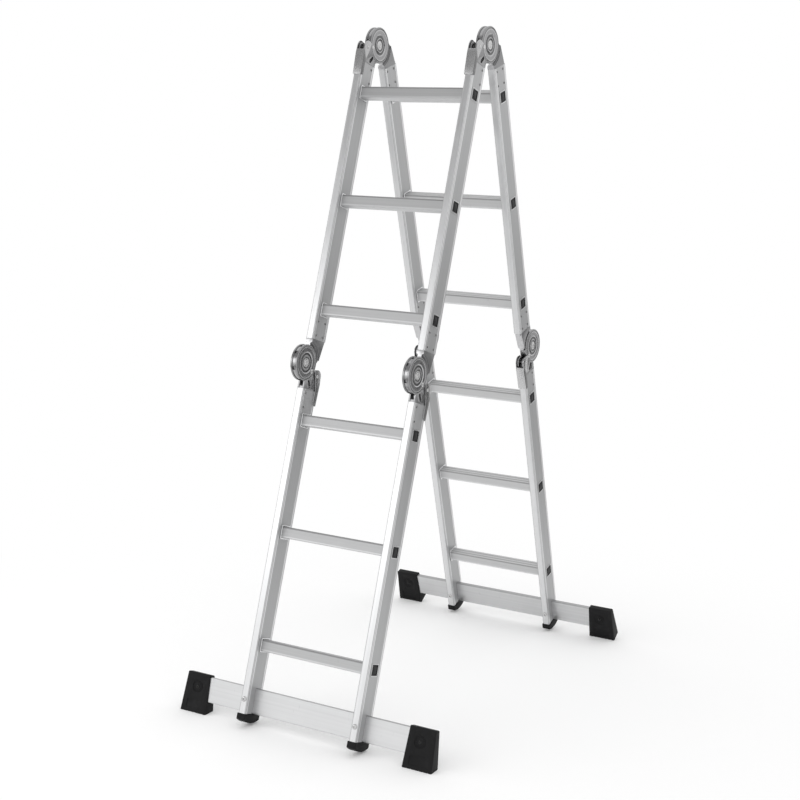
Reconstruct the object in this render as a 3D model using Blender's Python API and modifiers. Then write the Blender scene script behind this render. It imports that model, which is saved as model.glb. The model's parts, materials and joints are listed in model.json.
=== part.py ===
"""Folding multi position ladder, standing as a stepladder.

Four sections of three rungs each hang together on six locking hinges, two to a fold. The top fold
joins the two upper sections, and each middle fold joins an upper section to the lower one below it.
Lengths are in metres and angles in degrees. X runs along the rungs, Y to the rear and Z up. The
origin is on the floor, under the middle of the ladder.
"""

import math

import bmesh
import bpy
from mathutils import Matrix, Vector

# Sections, rungs and stiles
RUNG_SPACING = 0.280
RUNGS_PER_SECTION = 3
RUNG_SIZE = 0.028
RUNG_WALL = 0.0016
RUNG_CORNER = 0.0015
RUNG_GROOVE_WIDTH = 0.0036
RUNG_GROOVE_DEPTH = 0.0009
LADDER_WIDTH = 0.335
STILE_WIDTH = 0.020
STILE_DEPTH = 0.062
STILE_WALL = 0.0015
STILE_CORNER = 0.003
STILE_BEAD = 0.009
STILE_RECESS = 0.0008
OPENING_ANGLE = 34.6

# Hinges
FOLD_GAP = 0.013
DISC_RADIUS = 0.045
DISC_CHAMFER = 0.0015
DISH_RADIUS = 0.028
DISH_DEPTH = 0.0012
HINGE_NECK = 0.018
PLUG_LENGTH = 0.052
PLUG_WALL = 0.002
KNUCKLE_THICKNESS = 0.008
KNUCKLE_SHRINK = 0.002
TAIL_STEP = 0.0105
TAIL_SHOULDER = 0.016
NOTCH_WIDTH = 0.0085
NOTCH_DEPTH = 0.0035
BRACKET_RECESS = 0.0005
AXLE_RADIUS = 0.007
AXLE_HEAD_RADIUS = 0.0115
AXLE_HEAD_HEIGHT = 0.0024

# Release levers and the locking bolts that they draw back
LEVER_END = 0.099
LEVER_FACE_START = 0.035
LEVER_BULGE = 0.0054
LEVER_BULGE_START = 0.044
LEVER_TIP = 0.0021
LEVER_SHEET = 0.0015
LEVER_EAR_RADIUS = 0.0165
LEVER_CHEEK = 0.0145
LEVER_LIP = 0.010
LEVER_SEAT_RADIUS = 0.0122
LEVER_PULL = 12.0
PIVOT_RADIUS = 0.003
LOCK_BOLT_RADIUS = 0.003
LOCK_ARM_HALF_WIDTH = 0.005
LOCK_STANDOFF = 0.005
LOCK_ANGLE = 30.0
LOCK_TRAVEL_ANGLE = 30.0
LOCK_SLOT_TRAVEL = 0.013
PLATFORM_FOLD = 90.0

# Stabiliser bars with their end caps, feet and bolts
BAR_LENGTH = 0.700
BAR_HEIGHT = 0.062
BAR_DEPTH = 0.0125
BAR_LIFT = 0.002
BAR_WALL = 0.0018
BAR_CORNER = 0.002
CAP_LENGTH = 0.068
CAP_END_WALL = 0.004
CAP_SIDE_WALL = 0.003
CAP_RISE = 0.0045
CAP_DROP = 0.032
CAP_SOLE_DEPTH = 0.032
CAP_FLARE = 0.005
CAP_BEVEL = 0.0025
CAP_PANEL_MARGIN = 0.009
CAP_PANEL_DEPTH = 0.0012
FOOT_HEIGHT = 0.023
FOOT_SIDE_HEIGHT = 0.015
FOOT_LIP = 0.0018
FOOT_PLUG_HEIGHT = 0.018
BOLT_RADIUS = 0.003
BOLT_RISE = 0.004
BOLT_HEAD_RADIUS = 0.0065
BOLT_HEAD_HEIGHT = 0.0034
BOLT_NUT_RADIUS = 0.0055
BOLT_NUT_HEIGHT = 0.0048

# Gap between pieces that touch, and how far a cutter runs past what it cuts
CLEARANCE = 0.0003
OVERRUN = 0.005

# Facets of round shapes
DISC_STEPS = 20
ROUND_STEPS = 12
HOLE_STEPS = 8
CORNER_STEPS = 2

# Sizes that follow from the ones above
STILE_WEB = STILE_WIDTH / 2 - STILE_RECESS
STILE_CENTRE_X = (LADDER_WIDTH - STILE_WIDTH) / 2
AXIS_OFFSET = (STILE_DEPTH + FOLD_GAP) / 2
NEAR_FACE = AXIS_OFFSET - STILE_DEPTH / 2
FAR_FACE = AXIS_OFFSET + STILE_DEPTH / 2
SECTION_LENGTH = RUNGS_PER_SECTION * RUNG_SPACING
HINGE_REACH = DISC_RADIUS + HINGE_NECK
HINGE_HALF_WIDTH = STILE_WIDTH / 2 - CLEARANCE
BAR_DROP = SECTION_LENGTH - BAR_LIFT
LOWER_END = BAR_DROP + BAR_HEIGHT / 2
BAR_CENTRE_Y = -BAR_DEPTH / 2
CAP_TOP_DEPTH = BAR_DEPTH + 2 * CAP_SIDE_WALL
KNUCKLE_RADIUS = DISC_RADIUS - KNUCKLE_SHRINK
CHEEK_INNER = KNUCKLE_THICKNESS / 2 + CLEARANCE
LOCK_RADIUS = DISC_RADIUS + LOCK_STANDOFF
LEVER_INNER = STILE_WIDTH / 2 + CLEARANCE

COLLECTION = "multi_position_ladder"
WORKSHOP = "patterns_and_cutters"


def polar(radius, angle, centre=(0.0, 0.0)):
    """A point at an angle in degrees round a centre."""
    turn = math.radians(angle)
    return (centre[0] + radius * math.cos(turn), centre[1] + radius * math.sin(turn))


# The locking bolt rests just outside the disc. The lever's pin lies square to the way that the bolt
# is drawn, under the stile's far face, and the bolt's slot follows the chord of its swing.
LOCK_BOLT = Vector(polar(LOCK_RADIUS, LOCK_ANGLE))
LOCK_WAY = Vector(polar(1, LOCK_TRAVEL_ANGLE))
PIVOT_T = FAR_FACE - CLEARANCE - LEVER_SEAT_RADIUS
PIVOT = Vector((LOCK_BOLT.x - (PIVOT_T - LOCK_BOLT.y) * LOCK_WAY.y / LOCK_WAY.x, PIVOT_T))
SLOT_END = Vector(polar(LOCK_SLOT_TRAVEL, LOCK_TRAVEL_ANGLE + LEVER_PULL / 2, LOCK_BOLT))


def arc(radius, start, end, steps, centre=(0.0, 0.0)):
    """Points along an arc, with both of its ends."""
    return [polar(radius, start + (end - start) * i / steps, centre) for i in range(steps + 1)]


def circle(radius, steps, centre=(0.0, 0.0)):
    return arc(radius, 0, 360, steps, centre)[:-1]


def stadium(first, second, radius):
    """Outline of a slot or an arm with round ends, between two centres."""
    along = math.degrees(math.atan2(second[1] - first[1], second[0] - first[0]))
    half = HOLE_STEPS // 2
    return arc(radius, along - 90, along + 90, half, second) + arc(radius, along + 90, along + 270, half, first)


def rounded_rectangle(width, height, radius):
    """Corner arcs of a rectangle round the origin, anticlockwise."""
    points = []
    for i, (x, y) in enumerate(((1, 1), (-1, 1), (-1, -1), (1, -1))):
        centre = (x * (width / 2 - radius), y * (height / 2 - radius))
        points += arc(radius, 90 * i, 90 * i + 90, CORNER_STEPS, centre)
    return points


def new_object(name, data, collection):
    obj = bpy.data.objects.new(name, data)
    bpy.data.collections[collection].objects.link(obj)
    return obj


def helper(name, mesh):
    """A pattern or a cutter: it shapes the parts and isn't one of them."""
    obj = new_object(name, mesh, WORKSHOP)
    obj.hide_render = True
    obj.display_type = "WIRE"
    return obj


def tidy_mesh(mesh):
    """Welds loose caps and turns every face outwards."""
    bm = bmesh.new()
    bm.from_mesh(mesh)
    bmesh.ops.remove_doubles(bm, verts=bm.verts, dist=1e-6)
    bmesh.ops.recalc_face_normals(bm, faces=bm.faces)
    bm.to_mesh(mesh)
    bm.free()
    return mesh


def evaluated_mesh(obj):
    """The object's mesh as its modifiers leave it, with the object itself still there."""
    bpy.context.view_layer.update()
    graph = bpy.context.evaluated_depsgraph_get()
    return tidy_mesh(bpy.data.meshes.new_from_object(obj.evaluated_get(graph)))


def plate(name, loops, low, high):
    """A flat outline, with any holes as further loops, as a solid between two heights."""
    curve = bpy.data.curves.new(name, "CURVE")
    curve.dimensions = "2D"
    curve.fill_mode = "BOTH"
    curve.extrude = (high - low) / 2
    for loop in loops:
        spline = curve.splines.new("POLY")
        spline.points.add(len(loop) - 1)
        for point, (x, y) in zip(spline.points, loop):
            point.co = (x, y, 0, 1)
        spline.use_cyclic_u = True
    obj = helper(name + "_outline", curve)
    mesh = evaluated_mesh(obj)
    mesh.transform(Matrix.Translation((0, 0, (high + low) / 2)))
    bpy.data.objects.remove(obj)
    bpy.data.curves.remove(curve)
    mesh.name = name
    return mesh


def turned(name, profile, steps):
    """A shape turned round Z from (radius, height) points that run down its outer side."""
    mesh = bpy.data.meshes.new(name)
    bm = bmesh.new()
    verts = [bm.verts.new((radius, 0, height)) for radius, height in profile]
    for first, second in zip(verts, verts[1:]):
        bm.edges.new((first, second))
    if profile[0][0] > 0:
        bm.edges.new((verts[-1], verts[0]))
    bm.to_mesh(mesh)
    bm.free()
    obj = helper(name + "_profile", mesh)
    screw = obj.modifiers.new("turn", "SCREW")
    screw.axis = "Z"
    screw.steps = steps
    screw.render_steps = steps
    screw.use_merge_vertices = True
    screw.merge_threshold = 1e-5
    result = evaluated_mesh(obj)
    bpy.data.objects.remove(obj)
    bpy.data.meshes.remove(mesh)
    result.name = name
    return result


def boxes(name, corners):
    """One mesh of plain boxes, each from its low and its high corner."""
    bm = bmesh.new()
    for low, high in corners:
        low, high = Vector(low), Vector(high)
        place = Matrix.Translation((low + high) / 2) @ Matrix.Diagonal((*(high - low), 1))
        bmesh.ops.create_cube(bm, size=1, matrix=place)
    mesh = bpy.data.meshes.new(name)
    bm.to_mesh(mesh)
    bm.free()
    return mesh


def rods(name, radius, half_length, centres, axis):
    """One mesh of straight rods along an axis, for pins and for bored holes."""
    bm = bmesh.new()
    turn = Vector((0, 0, 1)).rotation_difference(Vector(axis)).to_matrix().to_4x4()
    for centre in centres:
        bmesh.ops.create_cone(
            bm,
            cap_ends=True,
            segments=HOLE_STEPS,
            radius1=radius,
            radius2=radius,
            depth=2 * half_length,
            matrix=Matrix.Translation(centre) @ turn,
        )
    mesh = bpy.data.meshes.new(name)
    bm.to_mesh(mesh)
    bm.free()
    return mesh


def shaped(name, mesh, joins=(), cuts=()):
    """A mesh with others joined to it and then cut from it, as one body."""
    pattern = helper(name + "_pattern", mesh)
    for operation, tools in (("UNION", joins), ("DIFFERENCE", cuts)):
        for i, tool in enumerate(tools):
            step = pattern.modifiers.new(f"{operation.lower()}_{i}", "BOOLEAN")
            step.operation = operation
            step.solver = "EXACT"
            step.object = helper(f"{name}_{operation.lower()}_{i}", tool)
    result = evaluated_mesh(pattern)
    result.name = name
    return result


def finish(mesh, colour, roughness, metallic, smooth_angle=None):
    """Gives a part's mesh its material and, where it is round, its smooth shading."""
    material = bpy.data.materials.new(mesh.name)
    material.use_nodes = True
    shader = material.node_tree.nodes["Principled BSDF"]
    shader.inputs["Base Color"].default_value = (*colour, 1)
    shader.inputs["Roughness"].default_value = roughness
    shader.inputs["Metallic"].default_value = metallic
    mesh.materials.clear()
    mesh.materials.append(material)
    if smooth_angle:
        mesh.shade_smooth()
        mesh.set_sharp_from_angle(angle=math.radians(smooth_angle))
    return mesh


def stile_loops():
    """Section of a stile: a hollow extrusion whose webs lie back between two edge beads."""
    half_width, half_depth = STILE_WIDTH / 2, STILE_DEPTH / 2
    edge = half_depth - STILE_BEAD
    foot = edge - STILE_RECESS
    side = [(half_width, -edge), (STILE_WEB, -foot), (STILE_WEB, foot), (half_width, edge)]
    corners = rounded_rectangle(STILE_WIDTH, STILE_DEPTH, STILE_CORNER)
    per_corner = CORNER_STEPS + 1
    upper, lower = corners[: 2 * per_corner], corners[2 * per_corner :]
    opposite = [(-x, -y) for x, y in side]
    inner_x, inner_y = STILE_WEB - STILE_WALL, half_depth - STILE_WALL
    inner = [(inner_x, inner_y), (-inner_x, inner_y), (-inner_x, -inner_y), (inner_x, -inner_y)]
    return [side + upper + opposite + lower, inner]


def rung_holes(name, heights):
    """Cutters for the square holes that rungs pass through, at heights along a stile."""
    half = RUNG_SIZE / 2 + CLEARANCE
    across = STILE_WIDTH
    return boxes(name, [((-across, -half, z - half), (across, half, z + half)) for z in heights])


def rung_heights(first):
    """Heights of a section's rungs, going down from its first one."""
    return [first - i * RUNG_SPACING for i in range(RUNGS_PER_SECTION)]


def upper_stile():
    """Stile of an upper section, with its middle at the origin."""
    half = SECTION_LENGTH / 2 - HINGE_REACH
    body = plate("upper_stile", stile_loops(), -half, half)
    heights = rung_heights((RUNGS_PER_SECTION - 1) * RUNG_SPACING / 2)
    mesh = shaped("upper_stile", body, cuts=[rung_holes("upper_stile_holes", heights)])
    return finish(mesh, (0.72, 0.73, 0.74), 0.34, 1.0)


def lower_stile():
    """Stile of a lower section, with the fold's height at z 0 and the bar's slot behind its middle."""
    body = plate("lower_stile", stile_loops(), -LOWER_END, -HINGE_REACH)
    slot_back, slot_front = -BAR_DEPTH - CLEARANCE, CLEARANCE
    slot_top = -BAR_DROP + BAR_HEIGHT / 2 + CLEARANCE
    slot = boxes(
        "bar_slot",
        [((-STILE_WIDTH, slot_back, -LOWER_END - OVERRUN), (STILE_WIDTH, slot_front, slot_top))],
    )
    bolt_centre = (0, 0, -BAR_DROP + BOLT_RISE)
    bolt_hole = rods("stile_bolt_hole", BOLT_RADIUS + CLEARANCE, STILE_DEPTH, [bolt_centre], (0, 1, 0))
    holes = rung_holes("lower_stile_holes", rung_heights(-RUNG_SPACING / 2))
    mesh = shaped("lower_stile", body, cuts=[holes, slot, bolt_hole])
    return finish(mesh, (0.76, 0.77, 0.78), 0.32, 1.0)


def rung_loops():
    """Section of a rung: a square tube with grip grooves along its top and its underside."""
    half = RUNG_SIZE / 2
    corner = half - RUNG_CORNER
    pitch = RUNG_SIZE / 4
    top = [(half, corner), (corner, half)]
    for centre in (pitch / 2 + RUNG_GROOVE_WIDTH / 2, -pitch / 2 - RUNG_GROOVE_WIDTH / 2):
        right, left = centre + RUNG_GROOVE_WIDTH / 2, centre - RUNG_GROOVE_WIDTH / 2
        floor = half - RUNG_GROOVE_DEPTH
        slope = RUNG_GROOVE_DEPTH / 2
        top += [(right, half), (right - slope, floor), (left + slope, floor), (left, half)]
    top += [(-corner, half), (-half, corner)]
    bore = half - RUNG_GROOVE_DEPTH - RUNG_WALL
    inner = [(bore, bore), (-bore, bore), (-bore, -bore), (bore, -bore)]
    return [top + [(-x, -y) for x, y in top], inner]


def rung():
    """Rung along X, with its grooves on its upper and lower sides."""
    mesh = plate("rung", rung_loops(), -LADDER_WIDTH / 2, LADDER_WIDTH / 2)
    mesh.transform(Matrix(((0, 0, 1, 0), (1, 0, 0, 0), (0, 1, 0, 0), (0, 0, 0, 1))))
    return finish(mesh, (0.70, 0.71, 0.72), 0.36, 1.0)


# Hinge pieces lie in their own frame: X runs from the axis along the stile, Y from the axis
# towards the stile's middle line, and Z along the axis. Both halves are alike on either side of Z 0.


def hinge_plug(name, start):
    """Hollow tenon of a hinge half that is riveted into the end of a stile."""
    half_depth = STILE_DEPTH / 2 - STILE_WALL - CLEARANCE
    half_width = STILE_WEB - STILE_WALL - CLEARANCE
    end = HINGE_REACH + PLUG_LENGTH
    outer = boxes(
        name,
        [((start, AXIS_OFFSET - half_depth, -half_width), (end, AXIS_OFFSET + half_depth, half_width))],
    )
    depth, width = half_depth - PLUG_WALL, half_width - PLUG_WALL
    hollow = boxes(
        name + "_hollow",
        [
            (
                (HINGE_REACH + PLUG_WALL, AXIS_OFFSET - depth, -width),
                (end + OVERRUN, AXIS_OFFSET + depth, width),
            )
        ],
    )
    return outer, hollow


def notched_arc(radius, start, end, notches):
    """An arc with a locking notch cut in at each of some angles, which rise from start to end."""
    half = math.degrees(math.asin(NOTCH_WIDTH / 2 / radius))
    step = 360 / DISC_STEPS
    points, angle = [], start
    for notch in [*notches, None]:
        stop = end if notch is None else notch - half
        points += arc(radius, angle, stop, max(1, round((stop - angle) / step)))
        if notch is not None:
            points += [polar(radius - NOTCH_DEPTH, notch + side * half) for side in (-1, 1)]
            angle = notch + half
    return points


def hinge_knuckle():
    """Inner half of a hinge: a notched disc that turns between the other half's cheeks, and its tail."""
    edge = NEAR_FACE + CLEARANCE
    clear_radius = DISC_RADIUS + 2 * CLEARANCE
    end = HINGE_REACH - CLEARANCE
    tail_start = math.degrees(math.asin(edge / clear_radius))
    tail_end = 84
    shoulder = (HINGE_REACH / 3, FAR_FACE - TAIL_SHOULDER)
    mouth = arc(clear_radius, tail_end, tail_start, DISC_STEPS // 4)
    outline = [(end, edge), (end, FAR_FACE - TAIL_STEP), shoulder, *mouth]
    tail = plate("knuckle_tail", [outline], -HINGE_HALF_WIDTH, HINGE_HALF_WIDTH)
    folds = (0, PLATFORM_FOLD, 180 - OPENING_ANGLE, 180)
    locks = [180 - LOCK_ANGLE + fold for fold in folds]
    inset = CLEARANCE * 4
    disc = notched_arc(KNUCKLE_RADIUS, tail_end, 360 + tail_start + 2, locks)
    web = [
        (end - HINGE_NECK / 2, edge + inset),
        (end - HINGE_NECK / 2, shoulder[1] - inset),
        (shoulder[0], shoulder[1] - inset),
    ]
    bore = circle(AXLE_RADIUS + CLEARANCE, ROUND_STEPS)
    half = KNUCKLE_THICKNESS / 2
    knuckle = plate("knuckle_disc", [disc + web, bore], -half, half)
    plug, hollow = hinge_plug("knuckle_plug", HINGE_REACH - HINGE_NECK / 3)
    mesh = shaped("hinge_knuckle", tail, joins=[knuckle, plug], cuts=[hollow])
    return finish(mesh, (0.30, 0.30, 0.31), 0.38, 1.0, 35)


def hinge_cheek_disc(name):
    """Dished round face of the outer half, turned round the axis, with its bore."""
    bore = AXLE_RADIUS + CLEARANCE
    top = HINGE_HALF_WIDTH
    floor = top - DISH_DEPTH
    profile = [
        (bore, floor),
        (DISH_RADIUS - DISH_DEPTH, floor),
        (DISH_RADIUS, top),
        (DISC_RADIUS - DISC_CHAMFER, top),
        (DISC_RADIUS, top - DISC_CHAMFER),
        (DISC_RADIUS, CHEEK_INNER),
        (bore, CHEEK_INNER),
    ]
    return turned(name, profile, DISC_STEPS)


def hinge_bracket(name):
    """Plate of the outer half from the disc to the stile, with the lever's hole and the bolt's slot."""
    rim = (DISC_RADIUS + DISH_RADIUS) / 2
    edge = NEAR_FACE + CLEARANCE
    end = HINGE_REACH - CLEARANCE
    lobe_side = PIVOT.x - LEVER_SEAT_RADIUS
    inner_start = math.degrees(math.acos(lobe_side / rim))
    inner_end = math.degrees(math.asin(edge / rim))
    inner = arc(rim, inner_start, inner_end, DISC_STEPS // 4)
    lobe = arc(LEVER_SEAT_RADIUS, 90, 180, ROUND_STEPS // 4, PIVOT)
    outline = [*inner, (end, edge), (end, FAR_FACE - CLEARANCE), *lobe]
    hole = circle(PIVOT_RADIUS + CLEARANCE, HOLE_STEPS, PIVOT)
    slot = stadium(LOCK_BOLT, SLOT_END, LOCK_BOLT_RADIUS + CLEARANCE)
    low, high = CHEEK_INNER + BRACKET_RECESS, HINGE_HALF_WIDTH - BRACKET_RECESS
    return plate(name, [outline, hole, slot], low, high)


def hinge_fork():
    """Outer half of a hinge: two dished cheeks, the brackets under them and a plug for the stile."""
    flip = Matrix.Rotation(math.pi, 4, (0, 1, 0)) @ Matrix.Scale(-1, 4, (1, 0, 0))
    plug, hollow = hinge_plug("fork_plug", HINGE_REACH - HINGE_NECK / 3)
    joins = []
    for i in range(2):
        for piece in (hinge_cheek_disc(f"fork_cheek_{i}"), hinge_bracket(f"fork_bracket_{i}")):
            if i:
                piece.transform(flip)
                tidy_mesh(piece)
            joins.append(piece)
    mesh = shaped("hinge_fork", plug, joins=joins, cuts=[hollow])
    return finish(mesh, (0.58, 0.58, 0.59), 0.30, 1.0, 35)


def hinge_axle():
    """Rivet that both halves of a hinge turn on, with a head in each dish."""
    seat = HINGE_HALF_WIDTH - DISH_DEPTH + CLEARANCE
    head = [
        (0, seat + AXLE_HEAD_HEIGHT),
        (AXLE_HEAD_RADIUS * 0.6, seat + AXLE_HEAD_HEIGHT * 0.92),
        (AXLE_HEAD_RADIUS, seat + AXLE_HEAD_HEIGHT / 2),
        (AXLE_HEAD_RADIUS, seat),
        (AXLE_RADIUS, seat),
    ]
    profile = head + [(radius, -height) for radius, height in reversed(head)]
    mesh = turned("hinge_axle", profile, ROUND_STEPS)
    return finish(mesh, (0.66, 0.66, 0.67), 0.26, 1.0, 35)


def release_lever():
    """Sheet channel over the stile's edge that swings on a cross pin and draws the locking bolt back."""
    face = FAR_FACE + LEVER_BULGE
    tip = FAR_FACE + LEVER_TIP
    ear = arc(LEVER_EAR_RADIUS, 90, 200, ROUND_STEPS // 3, PIVOT)
    throat = (PIVOT.x - LEVER_CHEEK, PIVOT.y - LEVER_CHEEK)
    lip = FAR_FACE - LEVER_LIP
    outline = [(LEVER_END, lip), (LEVER_END, tip), (LEVER_BULGE_START, face), *ear, throat, (HINGE_REACH, lip)]
    outer = LEVER_INNER + LEVER_SHEET
    sheet = plate("lever_sheet", [outline], -outer, outer)
    past = LEVER_END + OVERRUN
    above = face + OVERRUN
    room = [(0, above), (0, 0), (past, 0), (past, tip - LEVER_SHEET), (LEVER_END, tip - LEVER_SHEET)]
    room += [(LEVER_BULGE_START, face - LEVER_SHEET), (LEVER_FACE_START, face - LEVER_SHEET)]
    room += [(LEVER_FACE_START, above)]
    hollow = plate("lever_hollow", [room], -LEVER_INNER, LEVER_INNER)
    channel = shaped("lever_channel", sheet, cuts=[hollow])
    pin_half = outer + LEVER_SHEET / 2
    pin = rods("lever_pin", PIVOT_RADIUS, pin_half, [(*PIVOT, 0)], (0, 0, 1))
    arm_half = KNUCKLE_THICKNESS / 2 - CLEARANCE
    arm = plate("lock_arm", [stadium(PIVOT, LOCK_BOLT, LOCK_ARM_HALF_WIDTH)], -arm_half, arm_half)
    bolt_half = HINGE_HALF_WIDTH - BRACKET_RECESS
    bolt = rods("lock_bolt", LOCK_BOLT_RADIUS, bolt_half, [(*LOCK_BOLT, 0)], (0, 0, 1))
    mesh = shaped("release_lever", channel, joins=[pin, arm, bolt])
    mesh.transform(Matrix.Translation((-PIVOT.x, -PIVOT.y, 0)))
    return finish(mesh, (0.52, 0.52, 0.53), 0.32, 1.0, 35)


# The pieces of a lower section's foot lie in the stile's frame. The bar's +Y face lies on the stile's
# middle line, and its slot runs up from the stile's end.


def stabiliser_bar():
    """Cross tube in the slots of two stiles, bored for their bolts, with its middle at the origin."""
    bore = rounded_rectangle(BAR_DEPTH - 2 * BAR_WALL, BAR_HEIGHT - 2 * BAR_WALL, BAR_CORNER / 2)
    loops = [rounded_rectangle(BAR_DEPTH, BAR_HEIGHT, BAR_CORNER), bore]
    tube = plate("stabiliser_bar", loops, -BAR_LENGTH / 2, BAR_LENGTH / 2)
    tube.transform(Matrix(((0, 0, 1, 0), (1, 0, 0, 0), (0, 1, 0, 0), (0, 0, 0, 1))))
    centres = [(side * STILE_CENTRE_X, 0, BOLT_RISE) for side in (-1, 1)]
    holes = rods("bar_bolt_holes", BOLT_RADIUS + CLEARANCE, BAR_DEPTH, centres, (0, 1, 0))
    mesh = shaped("stabiliser_bar", tube, cuts=[holes])
    return finish(mesh, (0.74, 0.75, 0.76), 0.34, 1.0)


def bar_cap(hand, sole_angle):
    """Rubber boot on a bar's end, at the origin, with hand +1 for the end on the +X side.

    Its front is upright, and it widens downwards to its slanted sole at its back and both ends.
    """
    bm = bmesh.new()
    low = Vector((CAP_END_WALL - CAP_LENGTH, -CAP_TOP_DEPTH / 2, -BAR_HEIGHT / 2 - CAP_DROP))
    high = Vector((CAP_END_WALL, CAP_TOP_DEPTH / 2, BAR_HEIGHT / 2 + CAP_RISE))
    place = Matrix.Translation((low + high) / 2) @ Matrix.Diagonal((*(high - low), 1))
    bmesh.ops.create_cube(bm, size=1, matrix=place)
    middle = (low.x + high.x) / 2
    soles = [vert for vert in bm.verts if vert.co.z < 0]
    for vert in soles:
        vert.co.x += math.copysign(CAP_FLARE, vert.co.x - middle)
        if vert.co.y < 0:
            vert.co.y = high.y - CAP_SOLE_DEPTH
            vert.co.z += CAP_SOLE_DEPTH * math.tan(math.radians(sole_angle))
    mouth = [vert for vert in bm.verts if vert.co.x < middle]
    rounded = [
        edge for edge in bm.edges if not any(all(vert in rim for vert in edge.verts) for rim in (soles, mouth))
    ]
    bmesh.ops.bevel(bm, geom=rounded, offset=CAP_BEVEL, segments=2, profile=0.5, affect="EDGES")
    bmesh.ops.scale(bm, vec=(hand, 1, 1), verts=bm.verts)
    bmesh.ops.recalc_face_normals(bm, faces=bm.faces)
    name = "bar_cap_right" if hand > 0 else "bar_cap_left"
    mesh = bpy.data.meshes.new(name)
    bm.to_mesh(mesh)
    bm.free()
    half_depth, half_height = BAR_DEPTH / 2 + CLEARANCE, BAR_HEIGHT / 2 + CLEARANCE
    ends = sorted((hand * CLEARANCE, -hand * (CAP_LENGTH + CAP_FLARE)))
    socket = boxes(
        name + "_socket",
        [((ends[0], -half_depth, -half_height), (ends[1], half_depth, half_height))],
    )
    sides = sorted(hand * x for x in (low.x + CAP_PANEL_MARGIN, high.x - CAP_PANEL_MARGIN))
    panel = boxes(
        name + "_panel",
        [
            (
                (sides[0], high.y - CAP_PANEL_DEPTH, low.z + CAP_PANEL_MARGIN),
                (sides[1], high.y + OVERRUN, -BAR_HEIGHT / 2),
            )
        ],
    )
    mesh = shaped(name, mesh, cuts=[socket, panel])
    return finish(mesh, (0.020, 0.020, 0.021), 0.62, 0.0, 35)


def stile_foot():
    """Rocker foot under a stile, with the stile's end at z 0 and a plug up each side of the bar's slot."""
    half_depth = STILE_DEPTH / 2 + FOOT_LIP
    sag = FOOT_HEIGHT - FOOT_SIDE_HEIGHT
    radius = (half_depth**2 + sag**2) / (2 * sag)
    spread = math.degrees(math.asin(half_depth / radius))
    rocker = arc(radius, -90 - spread, -90 + spread, ROUND_STEPS // 2, (0, radius - FOOT_HEIGHT))
    outline = rocker + [(half_depth, -CLEARANCE), (-half_depth, -CLEARANCE)]
    half_width = STILE_WIDTH / 2 + FOOT_LIP
    sole = plate("foot_sole", [outline], -half_width, half_width)
    sole.transform(Matrix(((0, 0, 1, 0), (1, 0, 0, 0), (0, 1, 0, 0), (0, 0, 0, 1))))
    plug_x = STILE_WEB - STILE_WALL - CLEARANCE
    inner_y = STILE_DEPTH / 2 - STILE_WALL - CLEARANCE
    reaches = ((-inner_y, -BAR_DEPTH - CLEARANCE), (CLEARANCE, inner_y))
    plugs = boxes(
        "foot_plugs",
        [((-plug_x, back, -FOOT_SIDE_HEIGHT / 2), (plug_x, front, FOOT_PLUG_HEIGHT)) for back, front in reaches],
    )
    mesh = shaped("stile_foot", sole, joins=[plugs])
    return finish(mesh, (0.022, 0.022, 0.023), 0.60, 0.0, 25)


def stabiliser_bolt():
    """Bolt along Y through both edges of a stile and the bar between them, with its nut."""
    face = STILE_DEPTH / 2 + CLEARANCE
    profile = [
        (0, face + BOLT_HEAD_HEIGHT),
        (BOLT_HEAD_RADIUS * 0.7, face + BOLT_HEAD_HEIGHT * 0.8),
        (BOLT_HEAD_RADIUS, face + BOLT_HEAD_HEIGHT * 0.2),
        (BOLT_HEAD_RADIUS, face),
        (BOLT_RADIUS, face),
        (BOLT_RADIUS, -face),
        (BOLT_NUT_RADIUS, -face),
        (BOLT_NUT_RADIUS, -face - BOLT_NUT_HEIGHT),
        (0, -face - BOLT_NUT_HEIGHT),
    ]
    mesh = turned("stabiliser_bolt", profile, HOLE_STEPS)
    mesh.transform(Matrix.Rotation(-math.pi / 2, 4, "X"))
    return finish(mesh, (0.70, 0.70, 0.70), 0.30, 1.0, 35)


def empty(name, parent, location=(0, 0, 0), rotation=(0, 0, 0)):
    """A frame that pieces are placed in, on the axis that they turn on."""
    obj = new_object(name, None, COLLECTION)
    obj.parent = parent
    obj.location = location
    obj.rotation_euler = rotation
    return obj


def place(name, mesh, parent, location, rotation=(0, 0, 0)):
    obj = new_object(name, mesh, COLLECTION)
    obj.parent = parent
    obj.location = location
    obj.rotation_euler = rotation
    return obj


def hinge_turn(along, towards):
    """Rotation of a hinge piece whose stile runs along one direction and lies towards another."""
    along, towards = Vector(along), Vector(towards)
    return Matrix((along, towards, along.cross(towards))).transposed().to_euler()


UP, DOWN, OUT, IN = (0, 0, 1), (0, 0, -1), (0, 1, 0), (0, -1, 0)


def stand_angles():
    """How far the whole ladder leans so that both legs' caps touch the floor, and the front sole's slope."""
    half = math.radians(OPENING_ANGLE / 2)
    toe = BAR_CENTRE_Y + CAP_TOP_DEPTH / 2
    drop = SECTION_LENGTH + LOWER_END + CAP_DROP
    points = []
    for side, out in ((-1, AXIS_OFFSET + toe), (1, AXIS_OFFSET - toe)):
        y = side * (drop * math.sin(half) + out * math.cos(half))
        points.append(Vector((y, out * math.sin(half) - drop * math.cos(half))))
    step = points[1] - points[0]
    lean = math.atan2(step.y, step.x)
    return lean, OPENING_ANGLE / 2 + math.degrees(lean)


def side_names(leg):
    """Across a leg's own frame, which side of the ladder +1 and -1 are, as seen from the front."""
    return {1: "left", -1: "right"} if leg == "front" else {1: "right", -1: "left"}


def lever_place(axis_y, along, towards):
    """Where a lever's pin lies in its section's frame, from the fold's axis."""
    return Vector((0, axis_y, 0)) + Vector(along) * PIVOT.x + Vector(towards) * PIVOT.y


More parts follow.
